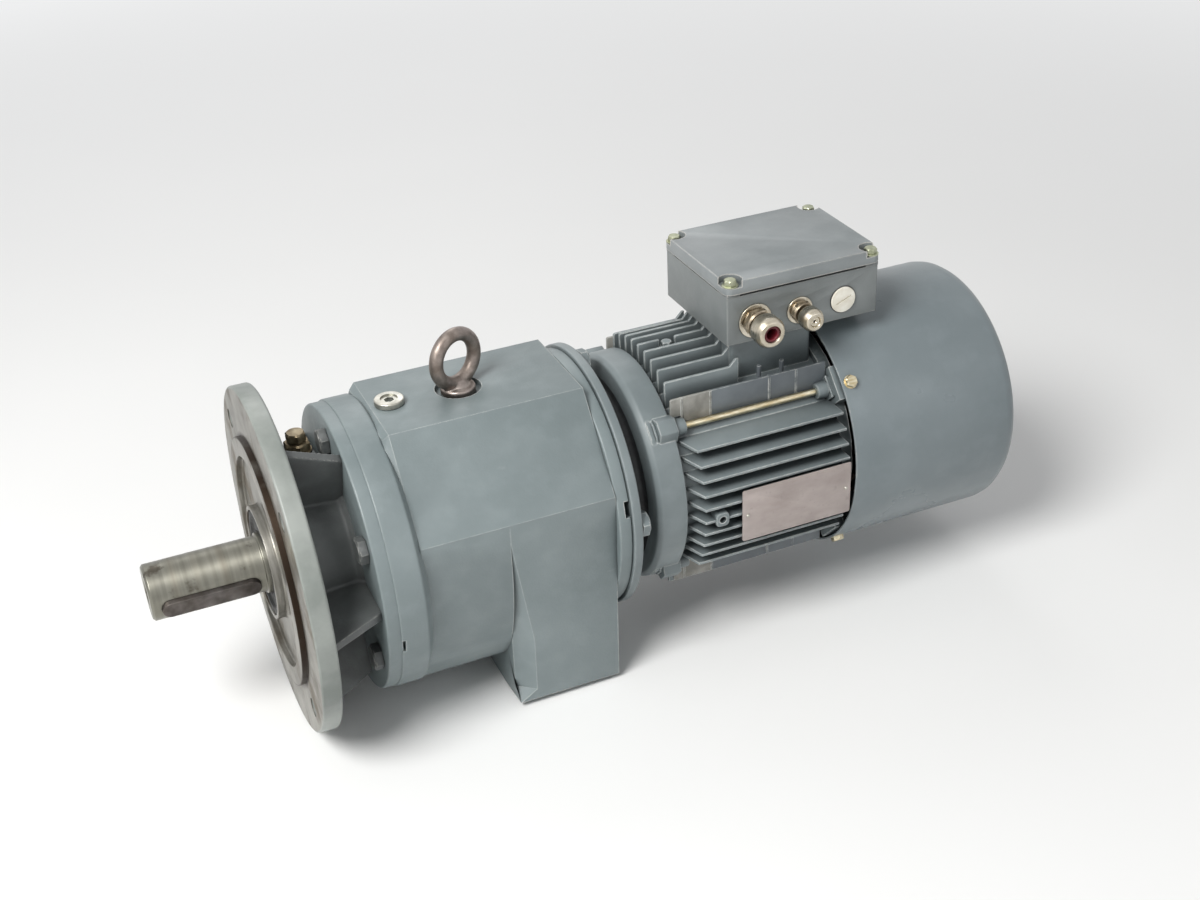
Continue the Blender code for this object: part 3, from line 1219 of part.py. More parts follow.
def make_stator_frame():
    """Finned aluminium frame with the pedestal of the terminal box and the nameplate pad."""
    frame = make_piece("stator_frame",
                       sleeve(BORE_RADIUS, BARREL_RADIUS, FRAME_FRONT_X, FRAME_BACK_X, MOTOR_AXIS_Z),
                       PAINT)
    join(frame, *side_fins(), *plate_fins())
    join(frame, *upright_fins())
    pedestal_foot = (BORE_RADIUS + math.sqrt(BARREL_RADIUS ** 2 - PEDESTAL_HALF ** 2)) / 2
    join(frame, box((PEDESTAL_X, PEDESTAL_END_X), (-PEDESTAL_HALF, PEDESTAL_HALF),
                    (MOTOR_AXIS_Z + pedestal_foot, PEDESTAL_TOP_Z)))
    nut_room = bored(NUT_ACROSS_FLATS / math.sqrt(3))
    nut_end = FRAME_FRONT_X + NUT_HEIGHT + TIE_COLLAR_LENGTH + GAP
    cut(frame, cable_port(), *[rod(nut_room, FRAME_FRONT_X - OVERSHOOT, nut_end, y, z, sides=12)
                               for y, z in tie_rod_places()])
    pad_face = -FIN_RADIUS
    join(frame, box((NAMEPLATE_X - PAD_MARGIN, FRAME_BACK_X - PAD_MARGIN),
                    (pad_face, pad_face + PAD_THICKNESS),
                    (NAMEPLATE_Z - PAD_MARGIN, NAMEPLATE_Z + NAMEPLATE_HEIGHT + PAD_MARGIN)),
         earth_boss())


def cable_port():
    """Cutter for the round way that the winding leads take up through the pedestal."""
    port = stand_up(rod(CABLE_PORT, MOTOR_AXIS_Z + CORE_BORE, PEDESTAL_TOP_Z + OVERSHOOT))
    return moved(port, (PORT_X, 0, 0))


def earth_boss():
    """Boss for the earth screw, between two side fins."""
    boss = point_near(rod(EARTH_BOSS_RADIUS, BARREL_RADIUS - OVERSHOOT, FIN_RADIUS + PAD_MARGIN))
    return moved(boss, (EARTH_BOSS_X, 0, MOTOR_AXIS_Z - FIN_PITCH / 2))


def make_nameplate():
    """Blank rating plate on the pad."""
    face = -FIN_RADIUS - GAP
    make_piece("nameplate", box((0, NAMEPLATE_LENGTH), (-NAMEPLATE_THICKNESS, 0), (0, NAMEPLATE_HEIGHT)),
               PLATE, (NAMEPLATE_X, face, NAMEPLATE_Z))


def make_tie_rods():
    """Rods with a hexagon at each end, and a collar at the front, that clamp both shields."""
    rear_x = BRAKE_SHIELD_X + BRAKE_SHIELD_PLATE + GAP
    start = SHIELD_BACK_X - TIE_THREAD_DEPTH
    nut_x = SHIELD_BACK_X + GAP - start
    collar_x = nut_x + NUT_HEIGHT - OVERSHOOT
    for number, (y, z) in enumerate(tie_rod_places(), start=1):
        stem = rod(TIE_ROD_RADIUS, 0, rear_x + NUT_HEIGHT + OVERSHOOT - start)
        bolt = make_piece(f"tie_rod_{number}", stem, ZINC, (start, y, z))
        join(bolt, hexagon(NUT_ACROSS_FLATS, nut_x, nut_x + NUT_HEIGHT),
             hexagon(NUT_ACROSS_FLATS, rear_x - start, rear_x + NUT_HEIGHT - start))
        join(bolt, rod(TIE_COLLAR_RADIUS, collar_x, collar_x + OVERSHOOT + TIE_COLLAR_LENGTH))


# Electrical parts


def make_stator():
    """Laminated core with open slots and the winding that fills them."""
    core = make_piece("stator_core", sleeve(CORE_BORE, CORE_RADIUS - SAGITTA, 0, CORE_LENGTH),
                      DARK_STEEL, (CORE_X, 0, MOTOR_AXIS_Z))
    slots = []
    bars = []
    half = SLOT_WIDTH / 2
    bar_half = half - GAP
    for angle in circle_angles(SLOT_COUNT, 0):
        slot = box((-OVERSHOOT, CORE_LENGTH + OVERSHOOT), (-half, half),
                   (CORE_BORE - OVERSHOOT, SLOT_BOTTOM))
        slots.append(turn_mesh(slot, angle, "X"))
        bar = box((-OVERSHOOT, CORE_LENGTH + OVERSHOOT), (-bar_half, bar_half),
                  (WINDING_INNER + GAP, SLOT_BOTTOM - GAP))
        bars.append(turn_mesh(bar, angle, "X"))
    cut(core, *slots)
    outer = SLOT_BOTTOM + GAP
    front = sleeve(WINDING_INNER, outer, -GAP - WINDING_OVERHANG, -GAP)
    winding = make_piece("stator_winding", front, COPPER, (CORE_X, 0, MOTOR_AXIS_Z))
    join(winding, *bars)
    join(winding, sleeve(WINDING_INNER, outer, CORE_LENGTH + GAP, CORE_LENGTH + GAP + WINDING_OVERHANG))


def make_rotor(axis):
    """Stepped rotor shaft with the rotor core and the input pinion."""
    drive_bearing_end = SHIELD_BACK_X - OVERSHOOT
    drive_bearing_x = drive_bearing_end - DRIVE_BEARING[2]
    brake_bearing_end = BRAKE_SHIELD_X + BRAKE_SHIELD_PLATE
    brake_bearing_x = brake_bearing_end - BRAKE_BEARING[2]
    pinion_end = INPUT_GEAR_X - OVERSHOOT / 2 + INPUT_PINION_WIDTH
    hub_x = BRAKE_FACE_X - OVERSHOOT
    hub_end = hub_x + BRAKE_HUB_LENGTH
    fan_end = FAN_X + FAN_HUB_LENGTH
    outline = [
        (INPUT_GEAR_X - OVERSHOOT / 2, 0), (INPUT_GEAR_X - OVERSHOOT / 2, PINION_SEAT - GAP),
        (pinion_end + GAP, PINION_SEAT - GAP), (pinion_end + GAP, INPUT_JOURNAL),
        (HOUSING_BACK_X - OVERSHOOT, INPUT_JOURNAL), (HOUSING_BACK_X, SEAL_JOURNAL),
        (drive_bearing_x - RUN_GAP, SEAL_JOURNAL),
        (drive_bearing_x - RUN_GAP, DRIVE_BEARING[0] - RUN_GAP),
        (drive_bearing_end + RUN_GAP, DRIVE_BEARING[0] - RUN_GAP),
        (drive_bearing_end + RUN_GAP, ROTOR_CORE_BORE - GAP),
        (CORE_X + CORE_LENGTH + GAP, ROTOR_CORE_BORE - GAP),
        (CORE_X + CORE_LENGTH + GAP, ROTOR_SHOULDER), (brake_bearing_x - OVERSHOOT, ROTOR_SHOULDER),
        (brake_bearing_x - OVERSHOOT, BRAKE_BEARING[0] - RUN_GAP), (hub_x - GAP, BRAKE_BEARING[0] - RUN_GAP),
        (hub_x - GAP, HUB_SEAT - GAP), (hub_end + GAP, HUB_SEAT - GAP),
        (hub_end + GAP, FAN_SEAT - GAP), (fan_end, FAN_SEAT - GAP), (fan_end, 0),
    ]
    make_piece("rotor_shaft", turned(outline), STEEL, parent=axis)
    make_piece("rotor_core",
               sleeve(ROTOR_CORE_BORE + SAGITTA, ROTOR_RADIUS, CORE_X, CORE_X + CORE_LENGTH),
               DARK_STEEL, parent=axis)
    middle = INPUT_GEAR_X + INPUT_GEAR_WIDTH / 2
    pinion = make_piece("motor_pinion",
                        toothed(INPUT_MODULE, INPUT_PINION_TEETH, PINION_ADDENDUM,
                                GEAR_ADDENDUM + TIP_CLEARANCE, INPUT_GEAR_X - OVERSHOOT / 2,
                                pinion_end, middle, -math.pi / 2, 1),
                        STEEL, parent=axis)
    cut(pinion, rod(PINION_SEAT + SAGITTA, INPUT_GEAR_X - 2 * OVERSHOOT, pinion_end + OVERSHOOT))


# Brake


def make_brake_end_shield():
    """Shield that carries the rear bearing and is the brake's fixed friction face."""
    plate_back = BRAKE_SHIELD_X + BRAKE_SHIELD_PLATE
    pilot_x = BRAKE_SHIELD_X - BRAKE_PILOT_LENGTH
    seat_radius = bored(BRAKE_BEARING[1])
    pilot_radius = BORE_RADIUS - GAP - SAGITTA
    outline = [
        (pilot_x, seat_radius), (pilot_x, pilot_radius), (BRAKE_SHIELD_X, pilot_radius),
        (BRAKE_SHIELD_X, BRAKE_SHIELD_RADIUS), (plate_back, BRAKE_SHIELD_RADIUS),
        (plate_back, BRAKE_FACE_RADIUS), (BRAKE_FACE_X, BRAKE_FACE_RADIUS),
        (BRAKE_FACE_X, BRAKE_HUB_HALF * math.sqrt(2) + RUN_GAP),
        (plate_back + OVERSHOOT, BRAKE_HUB_HALF * math.sqrt(2) + RUN_GAP),
        (plate_back + OVERSHOOT, BRAKE_SHIELD_BORE), (plate_back + GAP, BRAKE_SHIELD_BORE),
        (plate_back + GAP, seat_radius),
    ]
    shield = make_piece("brake_end_shield", turned(outline, MOTOR_AXIS_Z), PAINT)
    reach = math.sqrt((COWL_RADIUS - COWL_THICKNESS - GAP - SAGITTA) ** 2 - EAR_HALF ** 2)
    join(shield, *tie_lugs(BRAKE_SHIELD_X + MERGE_DISTANCE, plate_back - MERGE_DISTANCE,
                           BRAKE_FACE_RADIUS, reach, EAR_HALF))
    holes = [rod(bored(TIE_ROD_RADIUS), BRAKE_SHIELD_X - OVERSHOOT, plate_back + OVERSHOOT, y, z)
             for y, z in tie_rod_places()]
    cut(shield, *holes)
    make_bearing("motor_bearing_brake_end", BRAKE_BEARING, plate_back - BRAKE_BEARING[2], MOTOR_AXIS_Z)


def stud_places():
    return [polar(STUD_CIRCLE, angle) for angle in circle_angles(STUD_COUNT, STUD_ANGLE)]


def make_brake(rotor_axis, armature_axis):
    """Square hub, lined disc, armature plate and the magnet body on its studs."""
    hub_x = BRAKE_FACE_X - OVERSHOOT
    half = BRAKE_HUB_HALF
    square = box((hub_x, hub_x + BRAKE_HUB_LENGTH), (-half, half), (-half, half))
    hub = make_piece("brake_hub", square, STEEL, parent=rotor_axis)
    cut(hub, rod(HUB_SEAT + SAGITTA, hub_x - OVERSHOOT, hub_x + BRAKE_HUB_LENGTH + OVERSHOOT))
    disc_x = BRAKE_FACE_X + GAP
    disc_end = disc_x + BRAKE_DISC_THICKNESS
    outline = [(disc_x, LINING_INNER), (disc_x, BRAKE_DISC_RADIUS), (disc_end, BRAKE_DISC_RADIUS),
               (disc_end, LINING_INNER),
               (disc_end - LINING_THICKNESS, LINING_INNER), (disc_end - LINING_THICKNESS, 0),
               (disc_x + LINING_THICKNESS, 0), (disc_x + LINING_THICKNESS, LINING_INNER)]
    disc = make_piece("brake_disc", turned(outline), LINING, parent=rotor_axis)
    hole = half + GAP
    cut(disc, box((disc_x, disc_end), (-hole, hole), (-hole, hole)))
    plate_x = disc_end + GAP
    plate_end = plate_x + ARMATURE_THICKNESS
    plate = make_piece("armature_plate",
                       sleeve(ARMATURE_BORE, MAGNET_RADIUS, plate_x, plate_end), DARK_STEEL,
                       parent=armature_axis)
    cut(plate, *[rod(STUD_RADIUS + RUN_GAP, plate_x - OVERSHOOT, plate_end + OVERSHOOT, y, z)
                 for y, z in stud_places()])
    magnet_x = plate_end + AIR_GAP
    magnet = make_piece("brake_magnet",
                        sleeve(MAGNET_BORE, MAGNET_RADIUS, magnet_x, magnet_x + MAGNET_LENGTH),
                        DARK_STEEL, (0, 0, MOTOR_AXIS_Z))
    join(magnet, *[rod(STUD_RADIUS, BRAKE_FACE_X + GAP, magnet_x + OVERSHOOT, y, z)
                   for y, z in stud_places()])


# Fan and cowl


def make_fan(axis):
    """Radial fan: hub, disc and straight blades."""
    end_x = FAN_X + FAN_HUB_LENGTH
    outline = [(FAN_X, FAN_SEAT), (FAN_X, FAN_RADIUS), (FAN_X + FAN_DISC_THICKNESS, FAN_RADIUS),
               (FAN_X + FAN_DISC_THICKNESS, FAN_HUB_RADIUS), (end_x, FAN_HUB_RADIUS),
               (end_x, FAN_SEAT)]
    fan = make_piece("fan", turned(outline), DARK_PLASTIC, parent=axis)
    blades = []
    half = FAN_BLADE_THICKNESS / 2
    for angle in circle_angles(FAN_BLADES, 0):
        blade = box((FAN_X + FAN_DISC_THICKNESS / 2, FAN_X + FAN_BLADE_WIDTH), (-half, half),
                    (FAN_BLADE_ROOT, FAN_RADIUS - FAN_DISC_THICKNESS))
        blades.append(turn_mesh(blade, angle, "X"))
    join(fan, *blades)


def make_cowl():
    """Drawn sheet cowl with a rounded rear edge and an air-inlet grille."""
    outer = [(0, COWL_RADIUS)]
    inner = [(0, COWL_RADIUS - COWL_THICKNESS)]
    for i in range(CORNER_STEPS + 1):
        angle = math.pi / 2 * (1 - i / CORNER_STEPS)
        centre = (COWL_LENGTH - COWL_CORNER, COWL_RADIUS - COWL_CORNER)
        for path, radius in ((outer, COWL_CORNER), (inner, COWL_CORNER - COWL_THICKNESS)):
            path.append((centre[0] + radius * math.cos(angle), centre[1] + radius * math.sin(angle)))
    outline = outer + [(COWL_LENGTH, 0), (COWL_LENGTH - COWL_THICKNESS, 0)] + inner[::-1]
    cowl = make_piece("fan_cowl", turned(outline), PAINT, (COWL_X, 0, MOTOR_AXIS_Z))
    slots = []
    for row in range(GRILLE_ROWS):
        radius = COWL_RADIUS - GRILLE_MARGIN - GRILLE_PITCH * row
        sweep = 2 * math.pi / GRILLE_SPOKES - GRILLE_WEB / radius
        for angle in circle_angles(GRILLE_SPOKES, 0):
            slots.append(arc_slot(radius, angle, sweep))
    cut(cowl, *slots)


def arc_slot(radius, start, sweep):
    """Cutter for one curved slot of the grille."""
    inner = []
    outer = []
    for i in range(GRILLE_STEPS + 1):
        angle = start + sweep * i / GRILLE_STEPS
        inner.append(polar(radius - GRILLE_SLOT / 2, angle))
        outer.append(polar(radius + GRILLE_SLOT / 2, angle))
    return prism(inner + outer[::-1], COWL_LENGTH - 2 * OVERSHOOT, COWL_LENGTH + OVERSHOOT)


# Terminal box


def rectangle(x_range, half, corner=0.0):
    """Outline (x, y), with cut corners when corner is more than zero."""
    low, high = x_range
    if corner == 0.0:
        return [(low, -half), (high, -half), (high, half), (low, half)]
    return [(low + corner, -half), (high - corner, -half), (high, -half + corner),
            (high, half - corner), (high - corner, half), (low + corner, half),
            (low, half - corner), (low, -half + corner)]


def lid_screw_places():
    inset_x, inset_y = LID_SCREW_INSET
    return [(x, y) for x in (BOX_X[0] + inset_x, BOX_X[1] - inset_x)
            for y in (-BOX_HALF + inset_y, BOX_HALF - inset_y)]


def make_terminal_box():
    """Box with corner posts, cable port and three threaded entries in its near wall."""
    base = make_piece("terminal_box", upright(rectangle(BOX_X, BOX_HALF), BOX_BOTTOM_Z, BOX_TOP_Z),
                      PAINT)
    inner_x = (BOX_X[0] + BOX_WALL, BOX_X[1] - BOX_WALL)
    cut(base, upright(rectangle(inner_x, BOX_HALF - BOX_WALL, POST_SIZE),
                      BOX_BOTTOM_Z + BOX_FLOOR, BOX_TOP_Z + OVERSHOOT))
    port = stand_up(rod(CABLE_PORT, BOX_BOTTOM_Z - OVERSHOOT, BOX_BOTTOM_Z + BOX_FLOOR + OVERSHOOT))
    cutters = [moved(port, (PORT_X, 0, 0))]
    for x, radius in ((LARGE_GLAND["x"], LARGE_GLAND["thread"]), (SMALL_GLAND["x"], SMALL_GLAND["thread"]),
                      (PLUG_X, PLUG_THREAD)):
        entry = point_near(rod(bored(radius), BOX_HALF - BOX_WALL - OVERSHOOT, BOX_HALF + OVERSHOOT))
        cutters.append(moved(entry, (x, 0, ENTRY_Z)))
    cut(base, *cutters)
    depth = LID_SCREW_DEPTH + GAP
    cut(base, *[moved(stand_up(rod(bored(LID_SCREW_RADIUS), -depth, OVERSHOOT)), (x, y, BOX_TOP_Z))
                for x, y in lid_screw_places()])


def notched(inset):
    """Outline (x, y) of the lid's thick middle: the lid's own, inset, less a notch round each screw."""
    low, high = LID_X[0] + inset, LID_X[1] - inset
    half = LID_HALF - inset
    radius = LID_NOTCH + inset
    corners = ((low, -half), (high, -half), (high, half), (low, half))
    places = lid_screw_places()
    screws = (places[0], places[2], places[3], places[1])
    outline = []
    for number, ((x, y), (screw_x, screw_y)) in enumerate(zip(corners, screws), start=1):
        angles = [math.pi / 2 * (number - i / LID_NOTCH_STEPS) for i in range(LID_NOTCH_STEPS + 1)]
        arc = [(screw_x + radius * math.cos(angle), screw_y + radius * math.sin(angle))
               for angle in angles]
        on_sides = [(x, arc[0][1]), (arc[-1][0], y)]
        if number % 2 == 0:
            on_sides = [(arc[0][0], y), (x, arc[-1][1])]
        outline += [on_sides[0], *arc, on_sides[1]]
    return outline


def make_gasket(bottom_z, top_z):
    """Flat gasket with the box's inner opening."""
    inner_x = (BOX_X[0] + BOX_WALL, BOX_X[1] - BOX_WALL)
    gasket = make_piece("terminal_gasket", upright(rectangle(BOX_X, BOX_HALF), bottom_z, top_z), RUBBER)
    cut(gasket, upright(rectangle(inner_x, BOX_HALF - BOX_WALL, POST_SIZE),
                        bottom_z - OVERSHOOT, top_z + OVERSHOOT))
    cut(gasket, *screw_holes(bottom_z, top_z))


def screw_holes(bottom_z, top_z):
    """Cutters for the four lid screws, through a plate between two heights."""
    radius = bored(LID_SCREW_RADIUS)
    return [moved(stand_up(rod(radius, bottom_z - OVERSHOOT, top_z + OVERSHOOT)), (x, y, 0))
            for x, y in lid_screw_places()]


def make_lid(lid_z):
    """Overhanging lid: a slab with cut corners and a thicker middle that leaves a ledge per screw."""
    top_z = lid_z + LID_THICKNESS
    ledge_z = lid_z + LID_LEDGE
    lid = make_piece("terminal_lid", upright(rectangle(LID_X, LID_HALF, LID_CORNER), lid_z, ledge_z), PAINT)
    wide = notched(GAP)
    narrow = notched(LID_EDGE)
    rings = [[(x, y, z) for x, y in outline]
             for outline, z in ((wide, ledge_z - OVERSHOOT), (wide, top_z - LID_EDGE), (narrow, top_z))]
    join(lid, skin(rings))
    cut(lid, *screw_holes(lid_z, top_z))
    return ledge_z


def make_lid_and_gasket():
    """Gasket, lid and the four hexagon screws on the lid's ledges."""
    gasket_z = BOX_TOP_Z + GAP
    gasket_top = gasket_z + GASKET_THICKNESS
    make_gasket(gasket_z, gasket_top)
    ledge_z = make_lid(gasket_top + GAP)
    shank = LID_SCREW_DEPTH + ledge_z - BOX_TOP_Z
    screw = stand_up(bolt_mesh(LID_SCREW_FLATS, LID_SCREW_HEIGHT, LID_SCREW_RADIUS, shank))
    turn_mesh(screw, math.pi, "X")
    make_bolts("lid_screw", screw, ZINC, [(x, y, ledge_z + GAP) for x, y in lid_screw_places()])


def gland_outline(sizes):
    """Profile of an empty cable gland: thread, body and a dome nut, bored through."""
    reach = sizes["reach"]
    nut_x = reach * GLAND_BODY_SHARE
    return [(-BOX_WALL, sizes["bore"]), (-BOX_WALL, sizes["thread"]), (0, sizes["thread"]),
            (0, sizes["body"]), (nut_x, sizes["body"]), (nut_x, sizes["nut"]),
            (reach - GLAND_RIM * 2, sizes["nut"]), (reach, sizes["nut"] * GLAND_TIP), (reach, sizes["bore"])]


def make_gland(name, sizes):
    """Cable gland with a hexagon behind its dome nut."""
    gland = make_piece(name, point_near(turned(gland_outline(sizes))), NICKEL,
                       (sizes["x"], -BOX_HALF - GAP, ENTRY_Z))
    join(gland, point_near(hexagon(sizes["flats"], *GLAND_HEX_X)))
    cut(gland, point_near(rod(sizes["bore"], -BOX_WALL - OVERSHOOT, sizes["reach"] + OVERSHOOT)))


def make_entry_fittings():
    """Two empty cable glands and a blanking plug in the near wall."""
    make_gland("gland_large", LARGE_GLAND)
    make_gland("gland_small", SMALL_GLAND)
    rim = PLUG_HEIGHT - GLAND_RIM
    outline = [(-BOX_WALL, 0), (-BOX_WALL, PLUG_THREAD), (0, PLUG_THREAD), (0, PLUG_RADIUS),
               (rim, PLUG_RADIUS), (PLUG_HEIGHT, PLUG_RADIUS * GLAND_TIP), (PLUG_HEIGHT, 0)]
    make_piece("blanking_plug", point_near(turned(outline)), WHITE_PLASTIC,
               (PLUG_X, -BOX_HALF - GAP, ENTRY_Z))


def make_terminal_board():
    """Terminal block with six studs on the floor of the box, beside the cable port."""
    start = PORT_X + CABLE_PORT + OVERSHOOT
    floor = BOX_BOTTOM_Z + BOX_FLOOR + GAP
    board = make_piece("terminal_board",
                       box((0, BOARD_LENGTH), (-BOARD_HALF, BOARD_HALF), (0, BOARD_THICKNESS)),
                       DARK_PLASTIC, (start, 0, floor))
    radius, height = BOARD_STUD
    studs = []
    for column in (-1, 0, 1):
        x = BOARD_LENGTH * (1 / 2 + column * BOARD_STUD_SHARE)
        for row in (-1, 1):
            stud = stand_up(rod(radius, BOARD_THICKNESS - OVERSHOOT, BOARD_THICKNESS + height))
            studs.append(moved(stud, (x, row * BOARD_HALF / 2, 0)))
    join(board, *studs)


# Assembly


def build():
    for old in list(bpy.data.objects):
        bpy.data.objects.remove(old)
    output_axis = make_axis("output_axis", 0)
    intermediate_axis = make_axis("intermediate_axis", INTERMEDIATE_AXIS_Z)
    rotor_axis = make_axis("rotor_axis", MOTOR_AXIS_Z)
    armature_axis = make_axis("armature_axis", MOTOR_AXIS_Z)
    make_output_flange()
    make_output_line(output_axis)
    make_housing()
    make_eye_bolt()
    make_filler_plug()
    make_breather_plug()
    make_intermediate_line(intermediate_axis)
    make_rear_cover()
    make_drive_end_shield()
    make_stator_frame()
    make_nameplate()
    make_tie_rods()
    make_stator()
    make_rotor(rotor_axis)
    make_brake_end_shield()
    make_brake(rotor_axis, armature_axis)
    make_fan(rotor_axis)
    make_cowl()
    make_terminal_box()
    make_lid_and_gasket()
    make_entry_fittings()
    make_terminal_board()
    ring_shank = RING_THICKNESS + RING_BOLT_DEPTH
    make_bolts("flange_bolt", bolt_mesh(BOLT_ACROSS_FLATS, BOLT_HEAD_HEIGHT, BOLT_RADIUS, ring_shank),
               PAINT, ring_bolt_positions(RING_FRONT_X - GAP))
    adapter_shank = SHIELD_FLANGE_THICKNESS + ADAPTER_BOLT_DEPTH
    adapter = turn_mesh(bolt_mesh(BOLT_ACROSS_FLATS, BOLT_HEAD_HEIGHT, BOLT_RADIUS, adapter_shank),
                        math.pi, "Z")
    make_bolts("adapter_bolt", adapter, PAINT, adapter_bolt_positions(SHIELD_NECK_X + GAP))


build()
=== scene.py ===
import math

import bmesh
import bpy
from mathutils import Matrix, Vector


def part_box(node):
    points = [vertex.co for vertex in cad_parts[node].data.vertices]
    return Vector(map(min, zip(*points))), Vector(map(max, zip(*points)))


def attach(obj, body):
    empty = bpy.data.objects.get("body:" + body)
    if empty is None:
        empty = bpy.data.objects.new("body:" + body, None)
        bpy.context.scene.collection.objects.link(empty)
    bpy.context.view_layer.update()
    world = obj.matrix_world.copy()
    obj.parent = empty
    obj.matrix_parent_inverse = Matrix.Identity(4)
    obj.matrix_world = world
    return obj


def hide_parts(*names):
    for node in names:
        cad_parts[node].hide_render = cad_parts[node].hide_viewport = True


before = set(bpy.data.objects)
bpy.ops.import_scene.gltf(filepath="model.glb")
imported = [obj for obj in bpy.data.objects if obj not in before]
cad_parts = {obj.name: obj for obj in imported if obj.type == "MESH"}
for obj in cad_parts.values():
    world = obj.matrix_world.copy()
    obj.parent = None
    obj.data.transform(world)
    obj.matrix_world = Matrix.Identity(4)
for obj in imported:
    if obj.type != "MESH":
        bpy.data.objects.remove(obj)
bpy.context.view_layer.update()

# Axes and faces read from the frame
ROTOR_LOW, ROTOR_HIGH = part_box("rotor_core")
MOTOR_Z = (ROTOR_LOW.z + ROTOR_HIGH.z) / 2
FLANGE_LOW, FLANGE_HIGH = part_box("output_flange")
HOUSING_LOW, HOUSING_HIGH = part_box("gearbox_housing")
COVER_LOW, COVER_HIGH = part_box("rear_cover")
SHIELD_LOW, SHIELD_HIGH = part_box("drive_end_shield")
STATOR_LOW, STATOR_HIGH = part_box("stator_frame")
BRAKE_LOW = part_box("brake_end_shield")[0]
COWL_LOW, COWL_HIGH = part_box("fan_cowl")
BOX_LOW, BOX_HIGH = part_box("terminal_box")
GASKET_LOW, GASKET_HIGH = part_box("terminal_gasket")
LID_LOW, LID_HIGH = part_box("terminal_lid")
PLATE_LOW, PLATE_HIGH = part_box("nameplate")
SHAFT_LOW, SHAFT_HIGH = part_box("output_shaft")

GAP = 0.0003
TINY = 0.000001
SMOOTH_ANGLE = math.radians(32)
FINE = 128
MEDIUM = 64
SMALL = 32
EDGE = 0.0006

# Output flange
FLANGE_THICKNESS = 0.014
SPIGOT_RADIUS = 0.090
SPIGOT_X = -0.004
RECESS_RADIUS = 0.076
RECESS_X = 0.001
HUB_RADIUS = 0.041
HUB_X = -0.0066
SEAL_SEAT = 0.0381
MOUNT_HOLE_RADIUS = 0.007
MOUNT_HOLE_CIRCLE = 0.1075
NECK_RADIUS = 0.058
RIB_THICKNESS = 0.0062
RIB_FOOT_RADIUS = 0.117
RIB_HEAD_RADIUS = 0.097
SHAFT_RADIUS = 0.020
KEY_ANGLE = math.radians(190)
KEY_HALF = 0.006
RING_X = 0.0515
RING_OVERLAP_X = HOUSING_LOW.x + 0.0010
RIB_ANGLES = [math.radians(degrees) for degrees in (15, 113, 181, 248, 315)]
RING_RADIUS = 0.1045
RING_DROP = 0.0045
PAD_HALF = 0.012
PAD_END_X = 0.0425
PAD_TOP_Z = 0.080

# Gearbox housing
HOUSING_RING_RADIUS = 0.1055
HOUSING_RING_END_X = 0.0802
HOUSING_EDGE = 0.0042
TOP_Z = 0.100
TOP_HALF = 0.042
FLANK_Z = 0.038
FLANK_HALF = 0.092
BARREL_CENTRE_Z = 0.025
BARREL_HALF = 0.091
BARREL_DROP = 0.136
BARREL_EXPONENT = 2.5
BARREL_STEPS = 28
SUMP_X = 0.147
SUMP_HALF = 0.084
SUMP_BOTTOM_Z = HOUSING_LOW.z
SUMP_EDGE = 0.003
SUMP_SHOULDER = 0.8
CORNER_LENGTH = 0.013
CORNER_DEPTH = 0.011
CORNER_TOP_Z = 0.022
CORNER_FULL_Z = -0.066
CORNER_FOOT_Z = -0.112
EYE_X = 0.148
EYE_RECESS_RADIUS = 0.0165
EYE_RECESS_DEPTH = 0.004
SEAM_SLOT_ANGLE = math.radians(192)
COVER_RADIUS = 0.097
COVER_NOTCH_ANGLE = math.radians(166)
SHIELD_RADIUS = 0.0995
SHIELD_NECK_RADIUS = 0.070
DRUM_RADIUS = 0.0865
RING_BOLT = (0.0168, 0.0062, 0.0049)

# Motor
BARREL_RADIUS = 0.0795
FIN_RADIUS = 0.0965
FIN_PITCH = 0.0106
FIN_ROOT = 0.0030
FIN_TIP = 0.0020
SIDE_FIN_PAIRS = 5
TOP_FIN_PITCH = 0.011
TOP_FIN_REACH = 4
FIN_START_X = 0.2848
FIN_SLANT = 0.0075
PEDESTAL_X = 0.343
PEDESTAL_END_X = 0.409
PEDESTAL_HALF = 0.037
TIE_ROD_Y = 0.060
TIE_ROD_Z = 0.057
LUG_END_X = 0.0017 + SHIELD_HIGH.x - 0.004
BOSS_X = BRAKE_LOW.x - 0.005
FIN_CUT = (0.303, 0.3155)
PLATE_FIN_Y = 0.0555
PLATE_FIN_HEIGHTS = (0.051, 0.0635, 0.0775)
STUD_PLACES = (0.3615, 0.380)
ROD_RADIUS = 0.0026
EARTH_X = 0.3055
COWL_SCREW_ANGLES = [math.radians(degrees) for degrees in (42, 138, 230, 310)]

# Terminal box
BOX_MIDDLE = (BOX_LOW + BOX_HIGH) / 2
BOX_CORNER = 0.0012
BOX_WALL = 0.004
FOOT_SIZE = (0.0105, 0.0130)
LID_CORNER = 0.0065
LID_LEDGE = 0.0052
LID_NOTCH = 0.0085
PLUG_SLOT_TURN = math.radians(22)


# Mesh helpers


def circle_angles(count, start=0.0):
    return [start + 2 * math.pi * i / count for i in range(count)]


def circle(x, radius, steps, y=0.0, z=0.0):
    """Ring of points about an axis along X."""
    return [(x, y + radius * math.cos(a), z + radius * math.sin(a)) for a in circle_angles(steps)]


